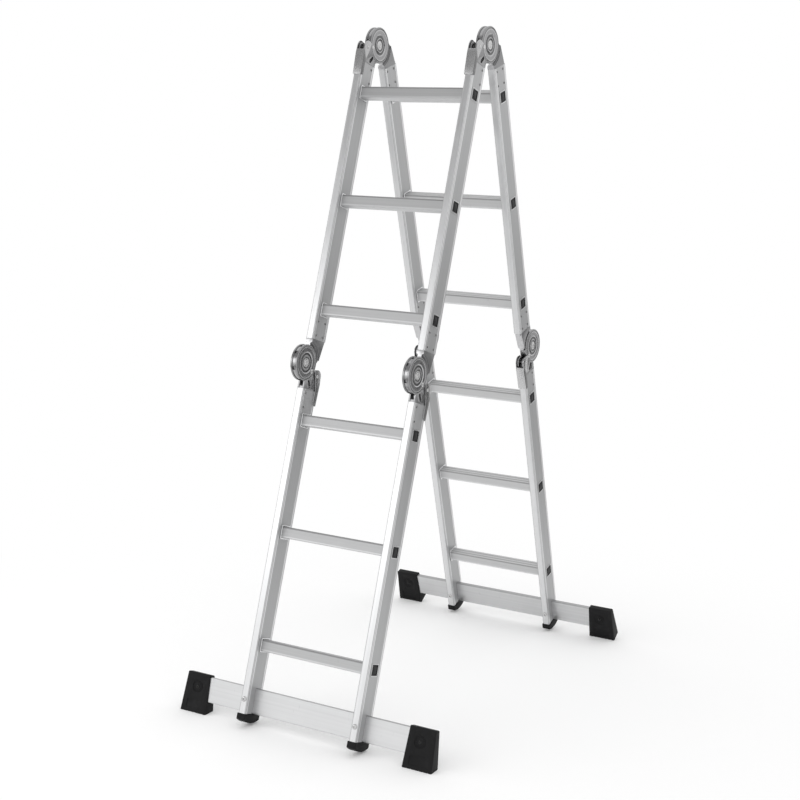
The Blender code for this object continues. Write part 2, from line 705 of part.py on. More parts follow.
def build_upper_section(leg, frame, shapes):
    """Stiles and rungs of an upper section, with its hinge halves for both of its folds."""
    for side, word in side_names(leg).items():
        x = side * STILE_CENTRE_X
        middle = (x, AXIS_OFFSET, -SECTION_LENGTH / 2)
        place(f"{leg}_upper_stile_{word}", shapes["upper_stile"], frame, middle)
        turn = hinge_turn(DOWN, OUT)
        if leg == "front":
            place(f"top_hinge_fork_{word}", shapes["hinge_fork"], frame, (x, 0, 0), turn)
            place(f"top_hinge_axle_{word}", shapes["hinge_axle"], frame, (x, 0, 0), turn)
            pin = lever_place(0, DOWN, OUT) + Vector((x, 0, 0))
            place(f"top_release_lever_{word}", shapes["release_lever"], frame, pin, turn)
        else:
            place(f"top_hinge_knuckle_{word}", shapes["hinge_knuckle"], frame, (x, 0, 0), turn)
        fold = (x, 2 * AXIS_OFFSET, -SECTION_LENGTH)
        place(f"{leg}_hinge_knuckle_{word}", shapes["hinge_knuckle"], frame, fold, hinge_turn(UP, IN))
    for i, height in enumerate(rung_heights(-RUNG_SPACING / 2)):
        place(f"{leg}_upper_rung_{i + 1}", shapes["rung"], frame, (0, AXIS_OFFSET, height))


def build_lower_section(leg, frame, shapes):
    """Stiles, rungs and foot of a lower section, with the levered halves of its fold's hinges."""
    turned_round = (0, 0, 0 if leg == "front" else math.pi)
    bar_y = -AXIS_OFFSET + (BAR_CENTRE_Y if leg == "front" else -BAR_CENTRE_Y)
    for side, word in side_names(leg).items():
        x = side * STILE_CENTRE_X
        base = (x, -AXIS_OFFSET, 0)
        place(f"{leg}_lower_stile_{word}", shapes["lower_stile"], frame, base, turned_round)
        foot = (x, -AXIS_OFFSET, -LOWER_END)
        place(f"{leg}_stile_foot_{word}", shapes["stile_foot"], frame, foot, turned_round)
        bolt = (x, -AXIS_OFFSET, -BAR_DROP + BOLT_RISE)
        place(f"{leg}_stabiliser_bolt_{word}", shapes["stabiliser_bolt"], frame, bolt, turned_round)
        turn = hinge_turn(DOWN, IN)
        place(f"{leg}_hinge_fork_{word}", shapes["hinge_fork"], frame, (x, 0, 0), turn)
        place(f"{leg}_hinge_axle_{word}", shapes["hinge_axle"], frame, (x, 0, 0), turn)
        pin = lever_place(0, DOWN, IN) + Vector((x, 0, 0))
        place(f"{leg}_release_lever_{word}", shapes["release_lever"], frame, pin, turn)
        cap = shapes["bar_cap_right"] if (side > 0) == (leg == "front") else shapes["bar_cap_left"]
        end = (side * BAR_LENGTH / 2, bar_y, -BAR_DROP)
        place(f"{leg}_bar_cap_{word}", cap, frame, end, turned_round)
    for i, height in enumerate(rung_heights(-RUNG_SPACING / 2)):
        place(f"{leg}_lower_rung_{i + 1}", shapes["rung"], frame, (0, -AXIS_OFFSET, height))
    place(f"{leg}_stabiliser_bar", shapes["stabiliser_bar"], frame, (0, bar_y, -BAR_DROP), turned_round)


def stand_on_floor(root):
    """Moves the ladder so that its lowest point is on the floor and its box is centred on the origin."""
    bpy.context.view_layer.update()
    parts = [obj for obj in bpy.data.collections[COLLECTION].objects if obj.type == "MESH"]
    points = [obj.matrix_world @ vert.co for obj in parts for vert in obj.data.vertices]
    ys, zs = [point.y for point in points], [point.z for point in points]
    root.location += Vector((0, -(min(ys) + max(ys)) / 2, -min(zs)))


def clear_scene():
    for obj in list(bpy.data.objects):
        bpy.data.objects.remove(obj)
    for name in (COLLECTION, WORKSHOP):
        collection = bpy.data.collections.new(name)
        bpy.context.scene.collection.children.link(collection)


def main():
    clear_scene()
    lean, sole_angle = stand_angles()
    makers = (upper_stile, lower_stile, rung, hinge_knuckle, hinge_fork, hinge_axle)
    makers += (release_lever, stabiliser_bar, stile_foot, stabiliser_bolt)
    shapes = {maker.__name__: maker() for maker in makers}
    shapes["bar_cap_right"] = bar_cap(1, sole_angle)
    shapes["bar_cap_left"] = bar_cap(-1, sole_angle)
    root = empty("ladder_root", None, rotation=(-lean, 0, 0))
    half = math.radians(OPENING_ANGLE / 2)
    for leg, heading in (("front", math.pi), ("rear", 0)):
        upper = empty(f"{leg}_leg_at_top_fold", root, rotation=(half, 0, heading))
        lower = empty(f"{leg}_fold", upper, location=(0, 2 * AXIS_OFFSET, -SECTION_LENGTH))
        build_upper_section(leg, upper, shapes)
        build_lower_section(leg, lower, shapes)
    stand_on_floor(root)


if __name__ == "__main__":
    main()
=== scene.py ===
"""Looks of a folding ladder that stands as an A-frame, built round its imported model."""

import json
import math

import bmesh
import bpy
from bpy.props import FloatProperty, FloatVectorProperty, PointerProperty
from mathutils import Matrix, Vector


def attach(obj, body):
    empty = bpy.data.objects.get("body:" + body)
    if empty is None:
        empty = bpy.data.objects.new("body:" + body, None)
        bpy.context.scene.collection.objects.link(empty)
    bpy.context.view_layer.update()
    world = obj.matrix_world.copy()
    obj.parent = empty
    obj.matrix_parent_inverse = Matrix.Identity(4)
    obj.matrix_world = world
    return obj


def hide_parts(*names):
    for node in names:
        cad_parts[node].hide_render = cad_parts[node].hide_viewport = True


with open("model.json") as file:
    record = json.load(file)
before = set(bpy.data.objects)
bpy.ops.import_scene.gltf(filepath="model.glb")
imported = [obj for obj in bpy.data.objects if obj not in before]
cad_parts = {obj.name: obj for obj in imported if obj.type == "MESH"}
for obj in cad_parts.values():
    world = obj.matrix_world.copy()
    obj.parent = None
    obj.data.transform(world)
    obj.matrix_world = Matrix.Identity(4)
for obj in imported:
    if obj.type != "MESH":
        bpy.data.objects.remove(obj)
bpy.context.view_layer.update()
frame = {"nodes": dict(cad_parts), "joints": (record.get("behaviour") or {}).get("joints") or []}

bl_info = {
    "name": "Folding Ladder",
    "version": (1, 0, 0),
    "blender": (4, 5, 0),
    "location": "View3D > Sidebar > Ladder",
    "description": "Models the fine pieces of a folding ladder and gives all of it its finishes",
    "category": "Object",
}

MM = 0.001
SIDES = {"left": -1, "right": 1}
LEGS = {"front": -1, "rear": 1}
SECTIONS = ("upper", "lower")
FOLDS = ("top", "front", "rear")
CROSSWAYS = Vector((1, 0, 0))
QUARTER_TURN = math.pi / 2
STILE_WALL = 1.8 * MM


def length(name, description, default):
    return FloatProperty(name=name, description=description, default=default, unit="LENGTH", precision=4)


def colour(name, description, default):
    return FloatVectorProperty(
        name=name, description=description, default=default, size=3, min=0, max=1, subtype="COLOR"
    )


class LadderSizes(bpy.types.PropertyGroup):
    """Sizes of the ladder that its fine pieces are fitted to."""

    rung_spacing: length("Rung Spacing", "From one rung to the next", 0.280)
    rung_size: length("Rung Size", "Width and height of a rung", 0.028)
    ladder_width: length("Ladder Width", "Over both stiles", 0.335)
    stile_width: length("Stile Width", "Across a stile, along the rungs", 0.020)
    stile_depth: length("Stile Depth", "Across a stile, from front to back", 0.062)
    web_recess: length("Web Recess", "How deep a stile's side lies between its edge beads", 0.0008)
    fold_gap: length("Fold Gap", "Between two sections that are folded together", 0.013)
    disc_radius: length("Disc Radius", "Of a hinge's round cheeks", 0.045)
    hinge_reach: length("Hinge Reach", "From a hinge's axis to the stile's end", 0.063)
    hinge_width: length("Hinge Width", "Over both cheeks of a hinge", 0.0194)
    knuckle_width: length("Knuckle Width", "Of the disc between a hinge's cheeks", 0.008)
    plug_length: length("Hinge Plug", "How far a hinge goes into a stile", 0.052)
    bar_length: length("Bar Length", "Of a stabiliser bar", 0.700)
    bar_height: length("Bar Height", "Of a stabiliser bar", 0.062)
    bar_depth: length("Bar Depth", "Of a stabiliser bar, from front to back", 0.0125)
    bar_lift: length("Bar Lift", "From the next rung's place up to the bar's middle", 0.002)
    play: length("Play", "Gap between pieces that touch", 0.0003)


class LadderColours(bpy.types.PropertyGroup):
    """Colours of the ladder's finishes."""

    aluminium: colour("Aluminium", "Extruded stiles", (0.72, 0.724, 0.73))
    bead_metal: colour("Bead Aluminium", "Edge beads along the stiles' sides", (0.70, 0.703, 0.708))
    # The webs' colour is painted shade: a stile's sides are one aluminium, and this darker tint stands in
    # for the shade on their recessed webs.
    web_shade_metal: colour("Web Aluminium", "Dull webs of the stiles' sides", (0.45, 0.452, 0.456))
    # The rungs of both legs are one aluminium. These two tints are painted light and shade: the front rungs
    # are drawn darker and the rear ones lighter, for how the light falls on each leg.
    front_rung_shade_tint: colour("Front Rung Aluminium", "Rungs of the front leg", (0.50, 0.502, 0.506))
    rear_rung_light_tint: colour("Rear Rung Aluminium", "Rungs of the rear leg", (0.60, 0.602, 0.606))
    # Lighter than the rungs' tints: the swaged ends are glossier aluminium, and part of their lightness is
    # a painted highlight.
    swaged_metal: colour("Swaged Aluminium", "Flared ends of the rungs", (0.80, 0.803, 0.808))
    bar_metal: colour("Bar Aluminium", "Stabiliser bars", (0.66, 0.663, 0.668))
    zinc: colour("Zinc", "Plated hinge cheeks", (0.31, 0.31, 0.314))
    knuckle_metal: colour("Knuckle Steel", "Hinge knuckles", (0.26, 0.26, 0.264))
    lever_metal: colour("Lever Steel", "Release levers", (0.56, 0.56, 0.564))
    rivet_metal: colour("Rivet Steel", "Rivets and pins", (0.58, 0.58, 0.58))
    rubber: colour("Rubber", "Caps and feet", (0.005, 0.005, 0.0055))
    plastic: colour("Plastic", "Rung plugs", (0.010, 0.010, 0.011))
    floor: colour("Floor", "Studio floor", (0.97, 0.97, 0.97))


def sizes():
    return bpy.context.scene.ladder_sizes


def colours():
    return bpy.context.scene.ladder_colours


# Where things are. A leg has a direction down it and one out of the A.
# Distances down it start at the top fold.


def axis_point(joint):
    for entry in frame["joints"]:
        if entry["name"] == joint:
            return Vector(entry["pos_m"])
    raise RuntimeError(f"the packed model has no joint {joint}")


def axis_offset():
    """From a fold's axis to the middle line of its stiles."""
    return (sizes().stile_depth + sizes().fold_gap) / 2


def section_length():
    return 3 * sizes().rung_spacing


def stile_x(side):
    return SIDES[side] * (sizes().ladder_width - sizes().stile_width) / 2


def stile_inside():
    """Half the width and half the depth of the room in a stile."""
    size = sizes()
    return size.stile_width / 2 - size.web_recess - STILE_WALL, size.stile_depth / 2 - STILE_WALL


def leg_angle(leg):
    """Lean of a leg from upright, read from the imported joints."""
    step = axis_point(f"{leg}_fold") - axis_point("top_fold")
    return math.atan2(LEGS[leg] * step.y, -step.z) - math.atan2(2 * axis_offset(), section_length())


def leg_ways(leg):
    """Directions down a leg and out of the A."""
    angle, way = leg_angle(leg), LEGS[leg]
    down = Vector((0, way * math.sin(angle), -math.cos(angle)))
    out = Vector((0, way * math.cos(angle), math.sin(angle)))
    return down, out


def leg_point(leg, x, down_by, out_by):
    down, out = leg_ways(leg)
    point = axis_point("top_fold") + down * down_by + out * out_by
    point.x = x
    return point


def frame_at(point, x_way, y_way):
    """Matrix that puts a piece's own X and Y along two directions at a point."""
    place = Matrix((x_way, y_way, x_way.cross(y_way))).transposed().to_4x4()
    place.translation = point
    return place


def hinge_frame(fold, half, side):
    """A hinge half's place.

    Its X runs along its stile, its Y towards the stile's middle and its Z on the axis.
    """
    if fold == "top":
        along, towards = leg_ways("front" if half == "fork" else "rear")
    else:
        down, out = leg_ways(fold)
        along, towards = (down if half == "fork" else -down), -out
    point = axis_point(f"{fold}_fold")
    point.x = stile_x(side)
    return frame_at(point, along, towards)


def hinge_body(fold, half):
    if fold == "top":
        return "front_upper" if half == "fork" else "rear_upper"
    return f"{fold}_lower" if half == "fork" else f"{fold}_upper"


def every_hinge():
    return [(fold, side) for fold in FOLDS for side in SIDES]


def every_half(half):
    """Fold, side, place and body of one half of each hinge."""
    return [
        (fold, side, hinge_frame(fold, half, side), hinge_body(fold, half)) for fold, side in every_hinge()
    ]


def every_rung():
    """Leg, section, number and distance down the leg of each rung."""
    spots = []
    for leg in LEGS:
        for i in range(6):
            spots.append((leg, SECTIONS[i // 3], i % 3 + 1, sizes().rung_spacing * (i + 0.5)))
    return spots


# Bench work with Blender's own modelling tools.


def clear_bench():
    if bpy.context.mode != "OBJECT":
        bpy.ops.object.mode_set(mode="OBJECT")
    bpy.ops.object.select_all(action="DESELECT")


def hold(part):
    clear_bench()
    part.select_set(True)
    bpy.context.view_layer.objects.active = part


def named(name):
    part = bpy.context.object
    part.name = part.data.name = name
    return part


def start_editing(part, action="DESELECT"):
    hold(part)
    bpy.ops.object.mode_set(mode="EDIT")
    bpy.ops.mesh.select_all(action=action)


def pick(part, kind, test):
    """Selects the faces, edges or verts of the part being edited that a test accepts."""
    bpy.ops.mesh.select_all(action="DESELECT")
    bpy.ops.mesh.select_mode(type=kind)
    mesh = bmesh.from_edit_mesh(part.data)
    items = {"FACE": mesh.faces, "EDGE": mesh.edges, "VERT": mesh.verts}[kind]
    found = 0
    for item in items:
        if test(item):
            item.select_set(True)
            found += 1
    bmesh.update_edit_mesh(part.data)
    if not found:
        raise RuntimeError(f"nothing to pick on {part.name}")


def end_editing(part):
    bpy.ops.mesh.select_all(action="SELECT")
    bpy.ops.mesh.remove_doubles(threshold=1e-6)
    bpy.ops.mesh.normals_make_consistent(inside=False)
    bpy.ops.object.mode_set(mode="OBJECT")


def block(name, low, high):
    """A box between two corners."""
    clear_bench()
    low, high = Vector(low), Vector(high)
    bpy.ops.mesh.primitive_cube_add(size=1, location=(low + high) / 2, scale=high - low)
    bpy.ops.object.transform_apply(location=True, rotation=False, scale=True)
    return named(name)


def drawn(name, outline, fill):
    """A circle whose points are moved to an outline of 3D points."""
    clear_bench()
    bpy.ops.mesh.primitive_circle_add(vertices=len(outline), radius=1, fill_type=fill)
    part = named(name)
    for vert, point in zip(part.data.vertices, outline):
        vert.co = point
    return part


def plate(name, outline, low, high):
    """A flat shape with an outline in X and Y, pulled out along Z."""
    part = drawn(name, [(x, y, low) for x, y in outline], "NGON")
    start_editing(part, "SELECT")
    bpy.ops.mesh.extrude_region_move(TRANSFORM_OT_translate={"value": (0, 0, high - low)})
    end_editing(part)
    return part


def spun(name, profile, steps):
    """A closed profile of (radius, height) turned once round Z."""
    part = drawn(name, [(radius, 0, height) for radius, height in profile], "NOTHING")
    start_editing(part, "SELECT")
    bpy.ops.mesh.spin(steps=steps, angle=2 * math.pi, center=(0, 0, 0), axis=(0, 0, 1))
    end_editing(part)
    return part


def turn_part(part, angle, axis):
    """Turns a part at the origin, its place kept in its mesh."""
    part.data.transform(Matrix.Rotation(angle, 4, axis))
    return part


def mirrored(part, name, axis):
    """A copy of a part on the other side of the origin."""
    hold(part)
    bpy.ops.object.duplicate()
    copy = named(name)
    start_editing(copy, "SELECT")
    scale = [1, 1, 1]
    scale["XYZ".index(axis)] = -1
    bpy.ops.transform.resize(value=scale, center_override=(0, 0, 0))
    end_editing(copy)
    return copy


def joined(part, operation, *tools):
    """Adds tools to a part, or cuts them out of it."""
    for tool in tools:
        hold(part)
        bpy.ops.object.modifier_add(type="BOOLEAN")
        modifier = part.modifiers[-1]
        modifier.operation, modifier.solver, modifier.object = operation, "EXACT", tool
        bpy.ops.object.modifier_apply(modifier=modifier.name)
        mesh = tool.data
        bpy.data.objects.remove(tool)
        bpy.data.meshes.remove(mesh)
    start_editing(part, "SELECT")
    bpy.ops.mesh.dissolve_degenerate(threshold=1e-6)
    end_editing(part)
    return part


def added(part, *tools):
    return joined(part, "UNION", *tools)


def cut(part, *tools):
    return joined(part, "DIFFERENCE", *tools)


def eased(part, width, segments=2, angle=35):
    """Rounds a part's sharp edges."""
    hold(part)
    bpy.ops.object.modifier_add(type="BEVEL")
    modifier = part.modifiers[-1]
    modifier.width, modifier.segments = width, segments
    modifier.limit_method, modifier.angle_limit = "ANGLE", math.radians(angle)
    modifier.use_clamp_overlap = True
    bpy.ops.object.modifier_apply(modifier=modifier.name)
    return part


def smoothed(part, angle=38):
    hold(part)
    bpy.ops.object.shade_smooth_by_angle(angle=math.radians(angle))
    return part


def polar(radius, degrees, centre=(0, 0)):
    angle = math.radians(degrees)
    return centre[0] + radius * math.cos(angle), centre[1] + radius * math.sin(angle)


def arc(radius, start, end, steps, centre=(0, 0)):
    return [polar(radius, start + (end - start) * i / steps, centre) for i in range(steps + 1)]


def stadium(first, second, radius, steps=10):
    """Outline round two points."""
    heading = math.degrees(math.atan2(second[1] - first[1], second[0] - first[0]))
    return arc(radius, heading + 90, heading + 270, steps, first) + arc(
        radius, heading - 90, heading + 90, steps, second
    )


def circle(radius, steps, centre=(0, 0)):
    return [polar(radius, 360 * i / steps, centre) for i in range(steps)]


def rounded_rectangle(low, high, radius, steps=5):
    points = []
    left, right = low[0] + radius, high[0] - radius
    bottom, top = low[1] + radius, high[1] - radius
    for i, centre in enumerate(((right, top), (left, top), (left, bottom), (right, bottom))):
        points += arc(radius, 90 * i, 90 * i + 90, steps, centre)
    return points


def in_mm(points):
    return [(x * MM, y * MM) for x, y in points]


def both_ends(profile):
    """A profile with its mirror image below z 0."""
    return profile + [(radius, -height) for radius, height in reversed(profile)]


def fitted(master, name, place, body, finish, node=None):
    """A copy of a finished pattern in its place on the ladder."""
    piece = master.copy()
    piece.data = master.data.copy()
    piece.name = piece.data.name = name
    piece.data.transform(place)
    bpy.context.scene.collection.objects.link(piece)
    piece.data.materials.clear()
    piece.data.materials.append(finish)
    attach(piece, body)
    if node:
        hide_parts(node)
    return piece


def put_away(*masters):
    for master in masters:
        mesh = master.data
        bpy.data.objects.remove(master)
        bpy.data.meshes.remove(mesh)


# Finishes.


class Value:
    """A number that changes over a surface. Arithmetic with it adds Math nodes to its finish."""

    def __init__(self, finish, socket):
        self.finish, self.socket = finish, socket

    def maths(self, operation, *values):
        return self.finish.node("ShaderNodeMath", {"operation": operation}, dict(enumerate(values)))

    def __add__(self, other):
        return self.maths("ADD", self, other)

    def __sub__(self, other):
        return self.maths("SUBTRACT", self, other)

    def __rsub__(self, other):
        return self.maths("SUBTRACT", other, self)

    def __mul__(self, other):
        return self.maths("MULTIPLY", self, other)

    def least(self, other):
        return self.maths("MINIMUM", self, other)

    def absolute(self):
        return self.maths("ABSOLUTE", self)

    __radd__ = __add__
    __rmul__ = __mul__


class Finish:
    """A material that is built up from nodes."""

    def __init__(self, name, constants):
        self.material = bpy.data.materials.new(name)
        self.material.use_nodes = True
        self.tree = self.material.node_tree
        self.shader = self.tree.nodes["Principled BSDF"]
        for socket, value in constants.items():
            self.set(socket, value)

    def node(self, kind, settings=None, inputs=None, output=0):
        node = self.tree.nodes.new(kind)
        for key, value in (settings or {}).items():
            setattr(node, key, value)
        for key, value in (inputs or {}).items():
            self.feed(node.inputs[key], value)
        return Value(self, node.outputs[output])

    def feed(self, socket, value):
        if isinstance(value, Value):
            self.tree.links.new(value.socket, socket)
        else:
            socket.default_value = value

    def set(self, socket, value):
        self.feed(self.shader.inputs[socket], value)

    def place(self, lean=0.0):
        """Object coordinates, turned about the rungs' direction by a leg's lean."""
        spot = self.node("ShaderNodeTexCoord", output="Object")
        return self.node("ShaderNodeMapping", inputs={"Vector": spot, "Rotation": (lean, 0, 0)})

    def stretched(self, spot, scale):
        return self.node("ShaderNodeVectorMath", {"operation": "MULTIPLY"}, {0: spot, 1: scale})

    def noise(self, spot, scale, detail=2.0, roughness=0.5):
        inputs = {"Vector": spot, "Scale": scale, "Detail": detail, "Roughness": roughness}
        return self.node("ShaderNodeTexNoise", inputs=inputs)

    def band(self, value, low, high):
        """0 below low and 1 above high, smoothly between them."""
        return self.node(
            "ShaderNodeMapRange",
            {"interpolation_type": "SMOOTHSTEP"},
            {"Value": value, "From Min": low, "From Max": high},
        )

    def strip(self, value, low, high, soft):
        """1 from low to high, and 0 beyond a soft edge on either side."""
        return self.band(value, low - soft, low) * self.band(value, high + soft, high)

    def axis(self, vector, letter):
        return self.node("ShaderNodeSeparateXYZ", inputs={0: vector}, output=letter)

    def facing_sideways(self):
        """1 on faces that look along the rungs."""
        across = self.axis(self.node("ShaderNodeNewGeometry", output="Normal"), "X")
        return self.band(across.absolute(), 0.55, 0.85)

    def toned(self, base, roughness, tone, areas):
        """Gives some areas their own tint and roughness, each as (mask, tint, added roughness)."""
        for mask, tint, duller in areas:
            base = self.mix(mask, base, self.mix(tone, shade(tint, 0.84), shade(tint, 1.16)))
            roughness = roughness + mask * duller
        return base, roughness

    def mix(self, amount, first, second):
        return self.node("ShaderNodeMix", {"data_type": "RGBA"}, {0: amount, 6: first, 7: second}, 2)

    def bump(self, height, distance, strength=1.0):
        bump = self.node(
            "ShaderNodeBump", inputs={"Height": height, "Distance": distance, "Strength": strength}
        )
        self.set("Normal", bump)


def shade(tint, factor):
    return tuple(min(1, channel * factor) for channel in tint[:3]) + (1,)


def leg_lean(leg):
    """Turn that stands a leg upright in its finishes' coordinates."""
    return -LEGS[leg] * leg_angle(leg)


def below_top(finish, spot, leg):
    """Distance down a leg from the top fold, in coordinates that its lean was taken out of."""
    return -leg_ways(leg)[0].dot(axis_point("top_fold")) - finish.axis(spot, "Z")


def stile_areas(leg):
    """Painted shade on the recessed webs of a stile's sides, which are also a little rougher, beads along
    their edges, painted shade in a line at each bead's step, and a dark painted reflection along the
    corners of the front and back faces.
    """
    middle = LEGS[leg] * (leg_ways(leg)[1].dot(axis_point("top_fold")) + axis_offset())

    def areas(finish, spot):
        from_middle = (finish.axis(spot, "Y") - middle).absolute()
        from_centre = (finish.axis(spot, "X").absolute() - stile_x("right")).absolute()
        # Painted shade: the recessed webs are drawn darker than the beads.
        web = finish.band(from_middle, 22.6 * MM, 21.0 * MM)
        # Painted shade in a thin line at each bead's step.
        bead_step_shade = finish.strip(from_middle, 26.9 * MM, 28.1 * MM, 0.7 * MM)
        # A dark painted reflection along the corners of the front and back faces.
        corner_dark_reflection = finish.strip(from_centre, 8.0 * MM, 9.2 * MM, 0.6 * MM)
        side = finish.facing_sideways()
        return [
            (corner_dark_reflection, shade(colours().aluminium, 0.62), 0.05),
            (side, colours().bead_metal, 0.0),
            (side * bead_step_shade, shade(colours().bead_metal, 0.62), 0.05),
            (side * web, colours().web_shade_metal, 0.04),
        ]

    return areas


def rung_areas(leg, tint):
    """Painted shade in a band along a rung's upper edge and a painted highlight in a band along its lower
    edge.
    """

    def areas(finish, spot):
        down_by = below_top(finish, spot, leg)
        spacing = sizes().rung_spacing
        offset = down_by.maths("WRAP", down_by, spacing, 0.0) - spacing / 2
        # Painted shade along the upper edge and a painted highlight along the lower edge.
        upper = finish.band(offset, -9.2 * MM, -10.6 * MM) * finish.band(offset, -13.6 * MM, -13.1 * MM)
        lower = finish.band(offset, 8.4 * MM, 9.6 * MM)
        return [(upper, shade(tint, 0.66), 0.05), (lower, shade(tint, 1.20), -0.05)]

    return areas


def bar_areas(leg, tint):
    """Painted shade along the bar's upper edge, which makes it darker than its faces."""

    def areas(finish, spot):
        drop = below_top(finish, spot, leg) - (2 * section_length() - sizes().bar_lift)
        # Painted shade along the bar's upper edge.
        upper = finish.band(drop, -29.0 * MM, -30.2 * MM)
        return [(upper, shade(tint, 0.62), 0.05)]

    return areas


def aluminium(name, tint, grain, lean=0.0, matt=0.25, areas=None):
    """Mill aluminium with fine lines and streaks from its die, dull patches and a few scratches."""
    finish = Finish(name, {"Metallic": 1.0})
    spot = finish.place(lean)
    lines = finish.noise(finish.stretched(spot, grain), 1.0, 3.0, 0.6)
    streaks = finish.noise(finish.stretched(spot, [scale * 0.16 for scale in grain]), 1.0, 2.0, 0.55)
    patches = finish.noise(spot, 7.0, 4.0, 0.55)
    handling = finish.noise(finish.stretched(spot, (210.0, 260.0, 31.0)), 1.0, 1.0)
    scratches = finish.band(handling, 0.70, 0.735) * finish.band(patches, 0.46, 0.62)
    tone = lines * 0.25 + streaks * 0.50 + patches * 0.25
    base = finish.mix(tone, shade(tint, 0.82), shade(tint, 1.16))
    roughness = matt + lines * 0.14 + patches * 0.12 + scratches * 0.10
    if areas:
        base, roughness = finish.toned(base, roughness, tone, areas(finish, spot))
    finish.set("Base Color", finish.mix(scratches * 0.30, base, shade(tint, 0.72)))
    finish.set("Roughness", roughness)
    finish.bump(lines * 0.6 + scratches * -0.5, 0.00012, 0.35)
    return finish.material


def from_fold(finish, spot):
    """Distance from the nearest fold's axis."""
    flat = finish.stretched(spot, (0, 1, 1))
    nearest = None
    for fold in FOLDS:
        axis = axis_point(f"{fold}_fold") * Vector((0, 1, 1))
        away = finish.node("ShaderNodeVectorMath", {"operation": "DISTANCE"}, {0: flat, 1: axis}, "Value")
        nearest = nearest.least(away) if nearest else away
    return nearest


def cheek_areas(finish, spot):
    """A hinge cheek's dish in painted shade, painted highlights on its rings, and painted shade in the
    groove inside its rim.
    """
    away = from_fold(finish, spot)
    # Painted shade over the dish.
    dish = finish.band(away, 25.6 * MM, 24.2 * MM)
    areas = [(dish, shade(colours().zinc, 0.40), 0.0)]
    # Painted highlights on the first three rings; the last row is painted shade in the groove inside the
    # rim.
    rings = ((16.0, 18.0, 1.30), (25.2, 27.4, 1.45), (36.6, 38.6, 1.45), (39.6, 41.6, 0.55))
    for low, high, factor in rings:
        ring = finish.strip(away, low * MM, high * MM, 0.6 * MM)
        areas.append((ring, shade(colours().zinc, factor), -0.04))
    return areas


def knuckle_areas(finish, spot):
    """Painted light on the tail's edges, painted shade in its ring groove, and the inner disc's bright rim.
    """
    away, side = from_fold(finish, spot), finish.facing_sideways()
    # Painted shade in the ring groove on the tail's sides.
    groove = side * finish.band(away, 54.6 * MM, 53.4 * MM)
    rim = finish.band(away, 45.2 * MM, 44.2 * MM)
    return [
        # Painted light on faces that don't look sideways, such as the tail's edges.
        (1 - side, shade(colours().knuckle_metal, 2.2), -0.04),
        (groove, shade(colours().knuckle_metal, 0.5), 0.0),
        (rim, shade(colours().zinc, 1.25), -0.08),
    ]


def lever_areas(finish, spot):
    """Painted shade on the sides of a lever's channel: a little on its bright ears, and much more beyond
    them.
    """
    side, metal = finish.facing_sideways(), colours().lever_metal
    # Painted shade on the channel's sides beyond the ears.
    far_side_shade = side * finish.band(from_fold(finish, spot), 76 * MM, 84 * MM)
    return [(side, shade(metal, 0.80), 0.0), (far_side_shade, shade(metal, 0.34), 0.08)]


def plated_steel(name, tint, roughness, mottle=0.10, areas=None):
    """Plated pressings: a grey film with faint clouding, fine rolling grain and duller worn spots."""
    finish = Finish(name, {"Metallic": 1.0})
    spot = finish.place()
    clouds = finish.noise(spot, 60.0, 4.0, 0.6)
    grain = finish.noise(finish.stretched(spot, (240.0, 1500.0, 1500.0)), 1.0, 2.0)
    wear = finish.band(finish.noise(spot, 140.0, 3.0, 0.65), 0.56, 0.70)
    tone = clouds * 0.7 + grain * 0.3
    base = finish.mix(tone, shade(tint, 1 - mottle), shade(tint, 1 + mottle))
    dullness = roughness - 0.05 + clouds * 0.12 + grain * 0.05 - wear * 0.05
    if areas:
        base, dullness = finish.toned(base, dullness, tone, areas(finish, spot))
    finish.set("Base Color", finish.mix(wear * 0.20, base, shade(tint, 1.25)))
    finish.set("Roughness", dullness)
    finish.bump(grain, 0.00008, 0.30)
    return finish.material


def bright_steel(name, tint):
    """Turned and headed fasteners: bright, with fine tool marks."""
    finish = Finish(name, {"Metallic": 1.0})
    spot = finish.place()
    marks = finish.noise(spot, 900.0, 2.0)
    clouds = finish.noise(spot, 90.0, 3.0)
    finish.set("Base Color", finish.mix(clouds, shade(tint, 0.82), shade(tint, 1.12)))
    finish.set("Roughness", 0.18 + marks * 0.10 + clouds * 0.08)
    finish.bump(marks, 0.00005, 0.25)
    return finish.material


def moulded(name, tint, roughness, grain, dust):
    """Black moulded rubber or plastic: a fine sparked grain, a little bloom and dust."""
    finish = Finish(name, {"Metallic": 0.0, "Specular IOR Level": 0.20})
    spot = finish.place()
    skin = finish.noise(spot, grain, 2.0, 0.6)
    bloom = finish.noise(spot, 45.0, 4.0, 0.6)
    settled = finish.band(bloom, 0.45, 0.78) * dust
    dust_grey = (0.07, 0.07, 0.072, 1)
    finish.set("Base Color", finish.mix(settled, shade(tint, 1.0), dust_grey))
    finish.set("Roughness", roughness - 0.06 + skin * 0.10 + bloom * 0.06)
    finish.bump(skin, 0.00018, 0.45)
    return finish.material


def rivet_steel():
    return bright_steel("rivet_steel_bright", colours().rivet_metal)


def give_finish(node, finish):
    part = frame["nodes"][node]
    part.data.materials.clear()
    part.data.materials.append(finish)


class FineOperator(bpy.types.Operator):
    """Base of the ladder's operators."""

    bl_options = {"REGISTER", "UNDO"}

    def execute(self, context):
        self.work()
        clear_bench()
        return {"FINISHED"}


